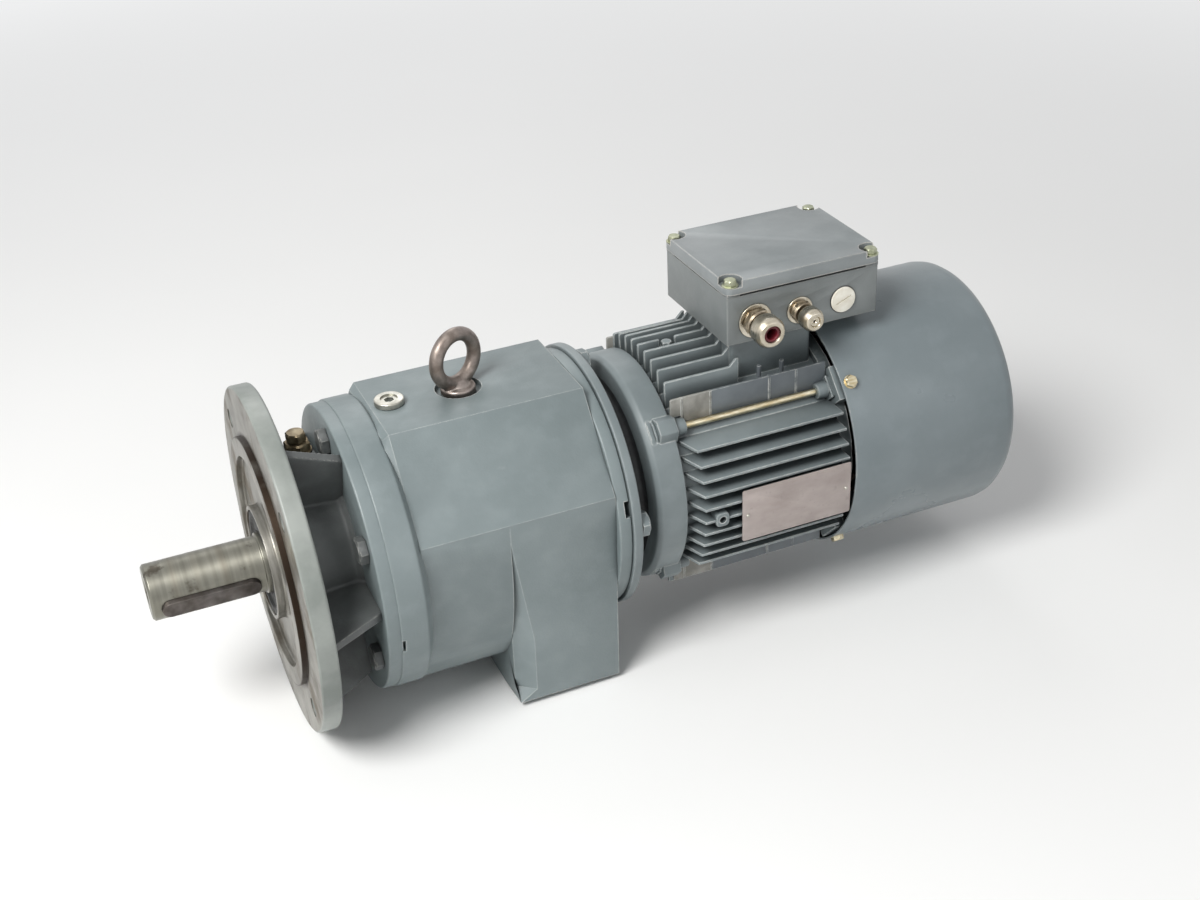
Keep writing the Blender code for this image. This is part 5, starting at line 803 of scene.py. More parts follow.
def stadium(start, end, half, steps=10):
    """Outline (x, y) of a bar with round ends."""
    points = []
    for centre, first in ((end - half, -math.pi / 2), (start + half, math.pi / 2)):
        for k in range(steps + 1):
            angle = first + math.pi * k / steps
            points.append((centre + half * math.cos(angle), half * math.sin(angle)))
    return points


# Gearbox


def barrel_half():
    points = []
    for i in range(BARREL_STEPS + 1):
        angle = math.pi / 2 * i / BARREL_STEPS
        y = BARREL_HALF * math.cos(angle) ** (2 / BARREL_EXPONENT)
        z = BARREL_CENTRE_Z - BARREL_DROP * math.sin(angle) ** (2 / BARREL_EXPONENT)
        points.append((y, z))
    return points


def sump_side(z):
    share = (FLANK_Z - z) / (FLANK_Z - SUMP_BOTTOM_Z)
    return FLANK_HALF + share * (SUMP_HALF - FLANK_HALF)


def whole(half):
    """Closed outline from its right half, with the flat top and slanted flanks."""
    right = [(TOP_HALF, TOP_Z), (FLANK_HALF, FLANK_Z)] + half[:-1]
    return right + [half[-1]] + [(-y, z) for y, z in reversed(right)]


def corner_share(z):
    """How much of the full corner facet the sump has at a height."""
    if z < CORNER_FOOT_Z - TINY:
        return 0.0
    share = (CORNER_TOP_Z - z) / (CORNER_TOP_Z - CORNER_FULL_Z)
    return min(max(share, 0.0), 1.0)


def sump_half():
    """Right half of the sump's outline, point for point beside the barrel's."""
    corner_z = SUMP_BOTTOM_Z + SUMP_EDGE
    corner_y = SUMP_HALF - SUMP_EDGE
    points = []
    for y, z in barrel_half():
        if y > corner_y * SUMP_SHOULDER:
            points.append((sump_side(z), z))
        elif points[-1][1] > CORNER_FOOT_Z:
            points.append((sump_side(CORNER_FOOT_Z), CORNER_FOOT_Z))
        elif points[-1][1] > corner_z:
            points.append((sump_side(corner_z), corner_z))
        else:
            points.append((min(corner_y, points[-1][0] - SUMP_EDGE, y), SUMP_BOTTOM_Z))
    points[-1] = (0.0, SUMP_BOTTOM_Z)
    return points


def housing_rings():
    """Sections of the housing from the barrel's chamfered front edge to the rear face."""
    barrel = whole(barrel_half())
    sump = whole(sump_half())
    shrink = 1 - HOUSING_EDGE / TOP_Z
    rings = [[(HOUSING_RING_END_X, y * shrink, z * shrink) for y, z in barrel]]
    rings.append([(HOUSING_RING_END_X + HOUSING_EDGE, y, z) for y, z in barrel])
    rings.append([(SUMP_X, y, z) for y, z in barrel])
    step = []
    full = []
    for y, z in sump:
        share = corner_share(z) if abs(y) > SUMP_HALF - SUMP_EDGE - TINY else 0.0
        step.append((SUMP_X, math.copysign(abs(y) - CORNER_DEPTH * share, y), z))
        full.append((SUMP_X + CORNER_LENGTH * share, y, z))
    rings += [step, full]
    rings.append([(HOUSING_HIGH.x, y, z) for y, z in sump])
    return rings


def gearbox_housing():
    """One casting: bolting ring, barrel and sump, with softened edges."""
    ring = solid_lathe([(HOUSING_LOW.x, 0.0, 0), (HOUSING_LOW.x, HOUSING_RING_RADIUS, 0.0012),
                        (HOUSING_RING_END_X, HOUSING_RING_RADIUS, 0.0025),
                        (HOUSING_RING_END_X + 0.006, HOUSING_RING_RADIUS - 0.010, 0),
                        (HOUSING_RING_END_X + 0.006, 0.0, 0)], FINE, -RING_DROP)
    housing = add_piece("housing_casting", skin(housing_rings()), GEAR_PAINT,
                        nodes=["gearbox_housing"])
    carve(housing, [ring], "UNION")
    recess = moved(upward(cylinder(EYE_RECESS_RADIUS, -EYE_RECESS_DEPTH, 0.004, steps=MEDIUM)),
                   (EYE_X, 0, TOP_Z))
    seam_slot = block((HOUSING_LOW.x - 0.001, HOUSING_LOW.x + 0.0027), (-0.0052, 0.0052),
                      (HOUSING_RING_RADIUS - 0.010, HOUSING_RING_RADIUS + 0.003))
    turned(seam_slot, SEAM_SLOT_ANGLE - math.pi / 2, "X")
    moved(seam_slot, (0, 0, -RING_DROP))
    carve(housing, [recess, seam_slot])
    soften(housing, 0.0011)


def eye_bolt():
    """Forged ring bolt with a collar and a waisted foot."""
    low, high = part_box("eye_bolt")
    centre = Vector(((low.x + high.x) / 2, (low.y + high.y) / 2, high.z - 0.023))
    bar = 0.005
    ring_radius = 0.018
    rings = []
    for a in circle_angles(64):
        ring = []
        for b in circle_angles(24):
            r = ring_radius + bar * math.cos(b)
            ring.append((r * math.cos(a), bar * math.sin(b), r * math.sin(a)))
        rings.append(ring)
    torus = skin(rings, closed=True)
    seat = TOP_Z - EYE_RECESS_DEPTH + GAP - centre.z
    foot = upward(solid_lathe([(seat, 0.0, 0), (seat, 0.0125, 0.0012), (seat + 0.0055, 0.0125, 0.0018),
                               (seat + 0.0065, 0.0085, 0.002), (-ring_radius + bar * 0.6, 0.0052, 0.003),
                               (-ring_radius + bar * 0.8, 0.0, 0)], 48))
    bm = turned(gathered([torus, foot]), math.radians(25), "Z")
    eye = add_piece("lifting_eye", moved(bm, centre), IRON, nodes=["eye_bolt"])
    cast(eye, 0.0006, 3)


def plugs():
    """Filler plug with a hexagon socket, and the vent plug with two hexagons."""
    low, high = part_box("filler_plug")
    x = (low.x + high.x) / 2
    collar = 0.0105
    rise = high.z - TOP_Z
    bm = upward(solid_lathe([(-0.012, 0.0, 0), (-0.012, 0.008, 0), (0.0003, 0.008, 0),
                             (0.0003, collar, 0.0004), (rise, collar, 0.0010), (rise, 0.0, 0)], 64))
    filler = add_piece("oil_plug", moved(bm, (x, 0, TOP_Z)), ZINC, nodes=["filler_plug"])
    socket = moved(upward(cylinder(0.0037, rise - 0.005, rise + 0.004, steps=6)), (x, 0, TOP_Z))
    bowl = moved(upward(cylinder(0.0062, rise - 0.0012, rise + 0.004, steps=48)), (x, 0, TOP_Z))
    carve(filler, [bowl])
    carve(filler, [socket])
    parts = [
        puck(0, 0.0018, (0.0098,), (0.0003,), 48),
        moved(hex_head(0.0165, 0.0065), (0.0018, 0, 0)),
        cylinder(0.0052, 0.008, 0.0095),
        moved(hex_head(0.0125, 0.0062), (0.0092, 0, 0)),
    ]
    bm = moved(upward(gathered(parts)), (node_middle("breather_plug").x, 0, PAD_TOP_Z + GAP))
    add_piece("vent_plug", bm, BRASS, nodes=["breather_plug"])


# Shields


def lug_outline(half, foot, shoulder, top):
    """Outline (y, z) of a lug whose outer corners are cut off like a hexagon's."""
    return [(-half, foot), (-half, shoulder), (-half / 2, top), (half / 2, top), (half, shoulder),
            (half, foot)]


def shield_lugs():
    """At each tie rod a thick hexagonal lug with a lower ridged pad in front of it."""
    lugs = []
    for y in (-TIE_ROD_Y, TIE_ROD_Y):
        for z in (-TIE_ROD_Z, TIE_ROD_Z):
            angle = math.atan2(z, y) - math.pi / 2
            sections = ((LUG_END_X - 0.0143, LUG_END_X, 0.0105, 0.0842, 0.0925),
                        (LUG_END_X - 0.0165, LUG_END_X - 0.0143, 0.0085, 0.0860, 0.0885),
                        (LUG_END_X - 0.0200, LUG_END_X - 0.0165, 0.0100, 0.0855, 0.0872))
            for start, end, half, shoulder, top in sections:
                outline = lug_outline(half, 0.078, shoulder, top)
                lug = skin([[(x, across, height) for across, height in outline] for x in (start, end)])
                lugs.append(moved(turned(bevelled(lug, 0.0008), angle, "X"), (0, 0, MOTOR_Z)))
    return lugs


def covers():
    """Rear cover and the drive-end shield with flange, neck, drum and tie-rod lugs."""
    cover = lathe([(COVER_LOW.x + 0.006, 0.03, 0), (COVER_LOW.x + 0.006, COVER_RADIUS, 0.0012),
                   (COVER_HIGH.x, COVER_RADIUS, 0.0010), (COVER_HIGH.x, 0.03, 0)], FINE, MOTOR_Z)
    cover = add_piece("cover_plate", cover, GEAR_PAINT, nodes=["rear_cover"])
    notch = block((COVER_HIGH.x - 0.004, COVER_HIGH.x + 0.001), (-0.006, 0.006),
                  (COVER_RADIUS - 0.011, COVER_RADIUS + 0.003))
    turned(notch, COVER_NOTCH_ANGLE - math.pi / 2, "X")
    carve(cover, [moved(notch, (0, 0, MOTOR_Z))])
    neck = SHIELD_NECK_RADIUS
    drum = DRUM_RADIUS
    neck_x = SHIELD_LOW.x + 0.007
    drum_x = SHIELD_LOW.x + 0.0245
    back = SHIELD_HIGH.x - 0.004
    plate_part = lathe([(SHIELD_LOW.x, 0.030, 0), (SHIELD_LOW.x, SHIELD_RADIUS, 0.0012),
                        (neck_x, SHIELD_RADIUS, 0.0012), (neck_x, neck - 0.004, 0),
                        (neck_x - 0.002, 0.030, 0)], FINE, MOTOR_Z)
    drum_part = lathe([(drum_x - 0.004, neck - 0.004, 0), (drum_x, drum - 0.008, 0.002),
                       (drum_x + 0.0008, drum - 0.003, 0.003), (drum_x + 0.0045, drum, 0.004),
                       (back, drum, 0.0010), (back, 0.072, 0), (back - 0.012, 0.066, 0)], FINE, MOTOR_Z)
    add_piece("shield_casting", gathered([plate_part, drum_part] + shield_lugs()), MOTOR_PAINT,
              nodes=["drive_end_shield"])
    # The neck between the flange and the drum is a separate near-black piece: painted shadow with some
    # grime.
    neck_part = lathe([(neck_x - 0.001, 0.050, 0), (neck_x - 0.001, neck + 0.004, 0),
                       (neck_x + 0.003, neck, 0.002), (drum_x - 0.003, neck, 0.003),
                       (drum_x, drum - 0.009, 0), (drum_x, 0.050, 0)], FINE, MOTOR_Z)
    add_piece("shield_neck", neck_part, NECK_SHADE_AND_GRIME)
    bolt_set("adapter_bolt", hex_bolt(*RING_BOLT, 0.010), MOTOR_PAINT, 4, seat_at_high_x=False)
    # The ring's bolts take the darker paint as painted shade.
    bolt_set("flange_bolt", hex_bolt(*RING_BOLT, 0.020), SHADED_CAST_PAINT, 6)


# Stator frame


def fin(outline, thickness_root, thickness_tip, root, tip):
    """Tapering fin from an outline (x, height), standing along +Z at y = 0."""
    rings = []
    for side in (1, -1):
        ring = []
        for x, height in outline:
            share = (height - root) / (tip - root)
            half = (thickness_root + (thickness_tip - thickness_root) * share) / 2
            ring.append((x, side * half, height))
        rings.append(ring)
    return bevelled(skin(rings), 0.0004)


def side_fins():
    fins = []
    for pair in range(SIDE_FIN_PAIRS):
        height = FIN_PITCH * (pair + 0.5)
        root = math.sqrt((BARREL_RADIUS - 0.003) ** 2 - height ** 2)
        tip = math.sqrt(FIN_RADIUS ** 2 - height ** 2)
        outline = [(FIN_START_X, root), (FIN_START_X + 0.001, root + 0.003),
                   (FIN_START_X + FIN_SLANT, tip), (STATOR_HIGH.x - GAP, tip), (STATOR_HIGH.x - GAP, root)]
        cut = [(FIN_START_X + FIN_SLANT, tip), (EARTH_X - 0.004, tip), (EARTH_X - 0.004, root)]
        rest = [(EARTH_X + 0.004, root), (EARTH_X + 0.004, tip), *outline[3:]]
        for level in (-height, height):
            for quarter in (math.pi / 2, -math.pi / 2):
                has_lug = pair == 0 and level < 0 and quarter > 0
                for part in ([outline[:2] + cut, rest] if has_lug else [outline]):
                    bm = turned(fin(part, FIN_ROOT, FIN_TIP, root, tip), quarter, "X")
                    fins.append(moved(bm, (0, 0, MOTOR_Z + level)))
    return fins


def upright_fins():
    fins = []
    start = FIN_START_X + 0.001
    end = STATOR_HIGH.x - GAP
    for step in range(-TOP_FIN_REACH, TOP_FIN_REACH + 1):
        y = step * TOP_FIN_PITCH
        root = math.sqrt((BARREL_RADIUS - 0.003) ** 2 - y ** 2)
        tip = math.sqrt(FIN_RADIUS ** 2 - y ** 2)
        rise = tip + 0.0055
        spans = [(start, FIN_CUT[0]), (FIN_CUT[1], PEDESTAL_X)] if step == 0 else [(start, PEDESTAL_X)]
        for first, last in spans:
            outline = [(first, root), (first, tip - 0.001), (first + 0.001, tip)]
            if last == PEDESTAL_X:
                outline += [(last - 0.005, tip), (last, rise), (last + 0.002, rise), (last + 0.002, root)]
            else:
                outline += [(last, tip), (last, root)]
            fins.append(moved(fin(outline, FIN_ROOT, FIN_TIP, root, rise), (0, y, MOTOR_Z)))
        plain = [(start, root), (start, tip), (end, tip), (end, root)]
        bottom = turned(fin(plain, FIN_ROOT, FIN_TIP, root, tip), math.pi, "X")
        fins.append(moved(bottom, (0, y, MOTOR_Z)))
    return fins


def plate_fins():
    """Tall thin plates beside the tie rods, with seams across them, and two studs behind."""
    parts = []
    end = STATOR_HIGH.x - GAP
    foot, step, tip = PLATE_FIN_HEIGHTS
    for side in (-1, 1):
        for up in (-1, 1):
            outline = [(FIN_START_X, step), (FIN_START_X, tip - 0.001), (FIN_START_X + 0.001, tip),
                       (end, tip), (end, foot), (0.295, foot), (0.295, step)]
            sheet = fin(outline, 0.002, 0.002, foot, tip)
            for x, depth in ((0.2935, 0.0004), (0.3165, 0.0003), (0.3640, 0.0005), (0.3862, 0.0003)):
                seam = block((x - 0.0006, x + 0.0006), (-0.001 - depth, 0.001 + depth), (0.0515, 0.0772))
                sheet = gathered([sheet, seam])
            if up < 0:
                turned(sheet, math.pi, "X")
            parts.append(moved(sheet, (0, side * PLATE_FIN_Y, MOTOR_Z)))
        for x in STUD_PLACES:
            stud = upward(cylinder(0.0017, 0.060, 0.0815, steps=20))
            parts.append(moved(stud, (x, side * 0.0455, MOTOR_Z)))
    return parts


def fin_screw():
    """Small painted screw in the gap of the middle fin."""
    x = sum(FIN_CUT) / 2
    bm = upward(gathered([
        puck(0.070, 0.0895, (0.0062, 0.0054), (0, 0.0006), 32),
        puck(0.089, 0.0904, (0.0050,), (0, 0.0004), 32),
        moved(hex_head(0.0076, 0.0036), (0.0902, 0, 0)),
    ]))
    add_piece("fin_screw", moved(bm, (x, 0, MOTOR_Z)), MOTOR_PAINT)


def earth_lug():
    """Rounded square loop with a hole, standing between two side fins."""
    plan = rounded([(-0.0052, -0.0055, 0.003), (0.0052, -0.0055, 0.003), (0.0052, 0.0055, 0.003),
                    (-0.0052, 0.0055, 0.003)], 4)
    loop = turned(plate(plan, 0.078, 0.0970, 0.0008), math.pi / 2, "X")
    lug = add_piece("earth_boss", moved(loop, (EARTH_X, 0, MOTOR_Z - FIN_PITCH / 2)), MOTOR_PAINT)
    hole = nearward(cylinder(0.0027, 0.082, 0.10, steps=32))
    carve(lug, [moved(hole, (EARTH_X, 0, MOTOR_Z - FIN_PITCH / 2))])


def stator_frame():
    """Barrel, fins, pedestal and tall plate fins."""
    barrel = lathe([(STATOR_LOW.x, 0.0685, 0), (STATOR_LOW.x, BARREL_RADIUS, 0.001),
                    (STATOR_HIGH.x, BARREL_RADIUS, 0.0006), (STATOR_HIGH.x, 0.0685, 0)], FINE, MOTOR_Z)
    bodies = [barrel] + side_fins() + upright_fins()
    bodies.append(block((PEDESTAL_X, PEDESTAL_END_X), (-PEDESTAL_HALF, PEDESTAL_HALF),
                        (MOTOR_Z + 0.066, BOX_LOW.z - GAP), 0.003))
    add_piece("frame_casting", gathered(bodies), MOTOR_PAINT, nodes=["stator_frame"])
    add_piece("frame_plates", gathered(plate_fins()), PLATE_PAINT)
    fin_screw()
    earth_lug()


def nameplate():
    """Blank plate with round corners and two rivets."""
    width = PLATE_HIGH.x - PLATE_LOW.x
    height = PLATE_HIGH.z - PLATE_LOW.z
    corner = 0.0015
    plan = rounded([(0, 0, corner), (width, 0, corner), (width, height, corner), (0, height, corner)])
    bm = turned(plate(plan, 0, 0.0008, 0.0002, 2), math.pi / 2, "X")
    add_piece("rating_plate", moved(bm, (PLATE_LOW.x, PLATE_HIGH.y, PLATE_LOW.z)), NAMEPLATE,
              nodes=["nameplate"])
    rivets = []
    for x in (0.004, width - 0.004):
        dome = nearward(solid_lathe([(0, 0, 0), (0, 0.0016, 0.0003), (0.0009, 0.0012, 0.0006),
                                     (0.0011, 0.0, 0)], 20))
        rivets.append(moved(dome, (PLATE_LOW.x + x, PLATE_HIGH.y - 0.0007, PLATE_LOW.z + height / 2)))
    add_piece("plate_rivets", gathered(rivets), ZINC)


def tie_rods():
    """Plated rods between a round collar and a boss with a stepped bracket at the rear."""
    for number in range(1, 5):
        node = f"tie_rod_{number}"
        place = node_middle(node)
        place.x = 0
        angle = math.atan2(place.z - MOTOR_Z, place.y) - math.pi / 2
        stem = cylinder(ROD_RADIUS, LUG_END_X, BOSS_X + 0.002, steps=24)
        add_piece(f"{node}_stem", moved(stem, place), YELLOW_ZINC, nodes=[node])
        collar = lathe([(LUG_END_X, ROD_RADIUS, 0), (LUG_END_X, 0.0064, 0.0003),
                        (LUG_END_X + 0.0088, 0.0062, 0.0010), (LUG_END_X + 0.0088, ROD_RADIUS, 0)], 40)
        boss_end = BOSS_X + 0.0085
        boss = lathe([(BOSS_X, ROD_RADIUS, 0), (BOSS_X, 0.0058, 0.0008), (boss_end, 0.0066, 0.0003),
                      (boss_end, ROD_RADIUS, 0)], 40)
        lip_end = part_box(node)[1].x - 0.001
        bracket = [block((boss_end, boss_end + 0.0017), (-0.0085, 0.0085), (-0.007, 0.0065), 0.0005),
                   block((boss_end, lip_end), (-0.0075, 0.0075), (0.0045, 0.0062), 0.0005)]
        ends = gathered([collar, boss] + [turned(part, angle, "X") for part in bracket])
        add_piece(f"{node}_ends", moved(ends, place), MOTOR_PAINT, nodes=[node])


# Fan cowl


def fan_cowl():
    """Sheet cowl with a rounded rear edge, grille slots and four screws."""
    radius = COWL_HIGH.z - MOTOR_Z
    thickness = 0.0015
    corner = 0.012
    start, end = COWL_LOW.x, COWL_HIGH.x
    outline = [
        (start, radius - thickness, 0.0003), (start, radius, 0.0005), (end, radius, corner),
        (end, 0.012, 0.0), (end - thickness, 0.012, 0.0),
        (end - thickness, radius - thickness, corner - thickness),
    ]
    cowl = add_piece("cowl_shell", lathe(outline, 160, MOTOR_Z), COWL_PAINT, nodes=["fan_cowl"])
    centre_disc = solid_lathe([(end - thickness, 0, 0), (end - thickness, 0.014, 0), (end, 0.014, 0.0004),
                               (end, 0, 0)], 48, MOTOR_Z)
    add_piece("cowl_centre", centre_disc, COWL_PAINT)
    slots = []
    for slot_radius in (0.030, 0.050, 0.070):
        sweep = math.pi / 2 - 0.010 / slot_radius
        for angle in circle_angles(4):
            slots.append(arc_slot(slot_radius, angle, sweep, end))
    carve(cowl, slots)
    screws = []
    for angle in COWL_SCREW_ANGLES:
        screw = upward(gathered([
            moved(hex_head(0.0085, 0.0032), (0.0006, 0, 0)),
            puck(0, 0.0008, (0.0052,), (0.0002,), 32),
        ]))
        moved(screw, (0, 0, radius - 0.0002))
        turned(screw, angle - math.pi / 2, "X")
        screws.append(moved(screw, (start + 0.007, 0, MOTOR_Z)))
    add_piece("cowl_screws", gathered(screws), YELLOW_ZINC)


def arc_slot(radius, start, sweep, end_x, steps=12):
    """Cutter for one curved slot with round ends."""
    half = 0.005
    outline = []
    for side in (-1, 1):
        order = range(steps + 1) if side < 0 else range(steps, -1, -1)
        for k in order:
            angle = start + sweep * k / steps
            r = radius + side * half
            outline.append((r * math.cos(angle), MOTOR_Z + r * math.sin(angle)))
    return skin([[(x, y, z) for y, z in outline] for x in (end_x - 0.006, end_x + 0.004)])


# Terminal box


def rectangle(low, high, corner, inset=0.0, steps=6):
    """Outline of a node's box seen from above, with round corners."""
    left, right = low.x + inset, high.x - inset
    near, far = low.y + inset, high.y - inset
    return rounded([(left, near, corner), (right, near, corner), (right, far, corner),
                    (left, far, corner)], steps)


def squeezed(outline, amount, waves):
    """Outline pushed in and out by a long irregular wave."""
    result = []
    for i, (x, y) in enumerate(outline):
        turn = 2 * math.pi * i / len(outline)
        push = amount * (math.sin(waves * turn) + math.sin(2.7 * waves * turn + 1.3)) / 2
        result.append((x + math.copysign(push, x - BOX_MIDDLE.x), y + math.copysign(push, y)))
    return result


def divided(outline, step):
    """Outline with extra points so that no side is longer than a step."""
    result = []
    for i, start in enumerate(outline):
        a, b = Vector(start), Vector(outline[(i + 1) % len(outline)])
        count = max(1, math.ceil((b - a).length / step))
        result += [tuple(a.lerp(b, k / count)) for k in range(count)]
    return result


def terminal_box():
    """Cast box, its gasket squeezed out in places, and the feet under the lid's corners."""
    base = add_piece("box_casting", plate(rectangle(BOX_LOW, BOX_HIGH, BOX_CORNER), BOX_LOW.z, BOX_HIGH.z),
                     BOX_PAINT, nodes=["terminal_box"])
    hollow = plate(rectangle(BOX_LOW, BOX_HIGH, 0.006, BOX_WALL), BOX_LOW.z + BOX_WALL, BOX_HIGH.z + 0.002)
    entries = []
    for node, radius in (("gland_large", 0.0098), ("gland_small", 0.0078), ("blanking_plug", 0.0078)):
        place = entry_place(node)
        entry = nearward(cylinder(radius, -0.006, 0.002, steps=40))
        entries.append(moved(entry, place))
    carve(base, [hollow])
    carve(base, entries)
    soften(base, 0.0005)
    gasket_plan = squeezed(divided(rectangle(GASKET_LOW, GASKET_HIGH, 0.003, 0.0007), 0.003), 0.0006, 9)
    add_piece("box_gasket", plate(gasket_plan, GASKET_LOW.z, GASKET_HIGH.z), GASKET,
              nodes=["terminal_gasket"])
    feet = []
    for x, inward in ((BOX_LOW.x, 1), (BOX_HIGH.x, -1)):
        for y, back in ((BOX_LOW.y, 1), (BOX_HIGH.y, -1)):
            feet.append(block(sorted((x, x + inward * FOOT_SIZE[0])), sorted((y, y + back * FOOT_SIZE[1])),
                              (BOX_HIGH.z - 0.001, LID_LOW.z - TINY), 0.0006))
    add_piece("box_feet", gathered(feet), BOX_PAINT)


def terminal_lid():
    """Lid with a round notch down to a ledge at each corner, where its screw sits."""
    ledge = LID_LOW.z + LID_LEDGE
    lid = add_piece("lid_casting", plate(rectangle(LID_LOW, LID_HIGH, LID_CORNER, 0.0, 8), LID_LOW.z,
                                         LID_HIGH.z, 0.0009), LID_PAINT,
                    nodes=["terminal_lid"])
    groove = block((LID_HIGH.x - 0.0125, LID_HIGH.x + 0.001), (-0.0402, -0.0382),
                   (LID_HIGH.z - 0.0016, LID_HIGH.z + 0.001))
    notches = []
    for number in range(1, 5):
        node = f"lid_screw_{number}"
        place = node_middle(node)
        place.z = 0
        notches.append(moved(upward(cylinder(LID_NOTCH, ledge, LID_HIGH.z + 0.01, steps=FINE)), place))
        head = upward(gathered([
            puck(0, 0.0009, (0.0060,), (0.0002, 0.0003), 40),
            moved(hex_head(0.0083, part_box(node)[1].z - ledge - 0.0009), (0.0009, 0, 0)),
        ]))
        turned(head, 0.7 * number, "Z")
        place.z = ledge
        add_piece(f"lid_bolt_{number}", moved(head, place), GREEN_ZINC, nodes=[node])
    carve(lid, notches)
    carve(lid, [groove])
    soften(lid, 0.0005)


def entry_place(node):
    """Point where a cable entry's axis meets the box's near wall."""
    place = node_middle(node)
    place.y = BOX_LOW.y
    return place


def threaded(start, end, radius, pitch=0.0013, depth=0.0006):
    """Outline points of a screw thread between two distances."""
    points = []
    for k in range(round((end - start) / pitch)):
        points += [(start + k * pitch, radius - depth, 0), (start + (k + 0.5) * pitch, radius, 0)]
    return points


def gland(node, sizes):
    """Cable gland: washer and smooth dome nut, with a darker thread and hexagon between them."""
    place = entry_place(node)
    reach = place.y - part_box(node)[0].y
    washer, thread, flats, dome, mouth, bore = sizes
    nut = reach * 0.46
    bright = [
        lathe([(0, bore, 0), (0, washer, 0.0003), (0.0015, washer, 0.0005), (0.0015, bore, 0)], 64),
        lathe([(nut, bore, 0), (nut, dome - 0.0012, 0.0003), (nut + 0.0022, dome, 0.0016),
               (reach - 0.0042, dome, 0.0040), (reach, mouth, 0.0018), (reach, bore + 0.0006, 0.0006),
               (reach - 0.0016, bore, 0.0004)], 64),
    ]
    dark = [
        lathe([(0.001, bore, 0), *threaded(0.0015, nut - 0.002, thread), (nut - 0.002, bore, 0)], 64),
        moved(hex_head(flats, 0.0040), (0.0032, 0, 0)),
    ]
    add_piece(f"{node}_body_thread", moved(nearward(gathered(dark)), place), DARK_NICKEL)
    add_piece(f"{node}_body", moved(nearward(gathered(bright)), place), NICKEL, nodes=[node])
    return place, reach


def entry_fittings():
    """Nickel-plated glands with their seals, and the cream blanking plug."""
    place, reach = gland("gland_large", (0.0130, 0.0096, 0.0192, 0.0115, 0.0094, 0.0060))
    seal = lathe([(0.004, 0.0040, 0), (0.004, 0.0060, 0), (reach - 0.0006, 0.0060, 0.0006),
                  (reach - 0.0016, 0.0042, 0.0006)], 48)
    add_piece("gland_large_seal", moved(nearward(seal), place), RED_RUBBER)
    place, reach = gland("gland_small", (0.0103, 0.0078, 0.0150, 0.0086, 0.0066, 0.0036))
    seal = lathe([(0.004, 0.0009, 0), (0.004, 0.0036, 0), (reach - 0.0012, 0.0036, 0.0003),
                  (reach - 0.0018, 0.0022, 0.0002), (reach - 0.0012, 0.0016, 0.0003),
                  (reach - 0.0022, 0.0009, 0.0002)], 40)
    add_piece("gland_small_seal", moved(nearward(seal), place), NICKEL)
    place = entry_place("blanking_plug")
    rim = puck(0, 0.0004, (0.0106,), (0.0001, 0.0002), 64)
    add_piece("plug_rim", moved(nearward(rim), place), BLACK_PLASTIC)
    cap = puck(0, 0.0014, (0.0099,), (0.0002, 0.0006), 64)
    plug = add_piece("plug_cap", moved(nearward(cap), place), CREAM, nodes=["blanking_plug"])
    slot = block((-0.0066, 0.0066), (-0.003, -0.0007), (-0.0005, 0.0005))
    carve(plug, [moved(turned(slot, -PLUG_SLOT_TURN, "Y"), place)])


# Inner pieces keep their CAD shape


def dress_inner_pieces():
    finishes = {
        GEAR_STEEL: ("output_bearing_front", "output_bearing_rear", "output_gear", "intermediate_shaft",
                     "intermediate_gear", "intermediate_bearing_front", "intermediate_bearing_rear",
                     "rotor_shaft", "motor_pinion", "motor_bearing_drive_end", "motor_bearing_brake_end",
                     "brake_hub"),
        IRON: ("armature_plate", "brake_magnet"),
        CORE: ("stator_core", "rotor_core"),
        WINDING: ("stator_winding",),
        RUBBER: ("input_seal",),
        LINING: ("brake_disc",),
        BLACK_PLASTIC: ("fan", "terminal_board"),
        MOTOR_PAINT: ("brake_end_shield",),
    }
    for material, nodes in finishes.items():
        for node in nodes:
            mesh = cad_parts[node].data
            mesh.materials.clear()
            mesh.materials.append(material)


# Stage

FLOOR_Z = FLANGE_LOW.z - 0.0005
CAMERA_PLACE = Vector((-0.13326, -0.94758, 0.62750))
CAMERA_AZIMUTH = math.radians(-22.16)
CAMERA_ELEVATION = math.radians(30.71)
CAMERA_ROLL = math.radians(-2.84)
CAMERA_LENS = 47.89
WORLD_LIGHT = 0.34
WORLD_SEEN = 0.95
KEY_POWER = 48.0
FILL_POWER = 4.0
BACK_POWER = 6.0


def camera():
    """Camera at the photograph's place, direction and roll."""
    sin_a, cos_a = math.sin(CAMERA_AZIMUTH), math.cos(CAMERA_AZIMUTH)
    sin_e, cos_e = math.sin(CAMERA_ELEVATION), math.cos(CAMERA_ELEVATION)
    forward = Vector((-sin_a * cos_e, cos_a * cos_e, -sin_e))
    level = Vector((cos_a, sin_a, 0))
    raised = level.cross(forward)
    right = level * math.cos(CAMERA_ROLL) + raised * math.sin(CAMERA_ROLL)
    up = raised * math.cos(CAMERA_ROLL) - level * math.sin(CAMERA_ROLL)
    data = bpy.data.cameras.new("camera")
    data.lens = CAMERA_LENS
    data.sensor_width = 36
    data.sensor_fit = "HORIZONTAL"
    data.clip_start = 0.01
    seen = bpy.data.objects.new("camera", data)
    rotation = Matrix((right, up, -forward)).transposed().to_4x4()
    seen.matrix_world = Matrix.Translation(CAMERA_PLACE) @ rotation
    bpy.context.scene.collection.objects.link(seen)
    bpy.context.scene.camera = seen


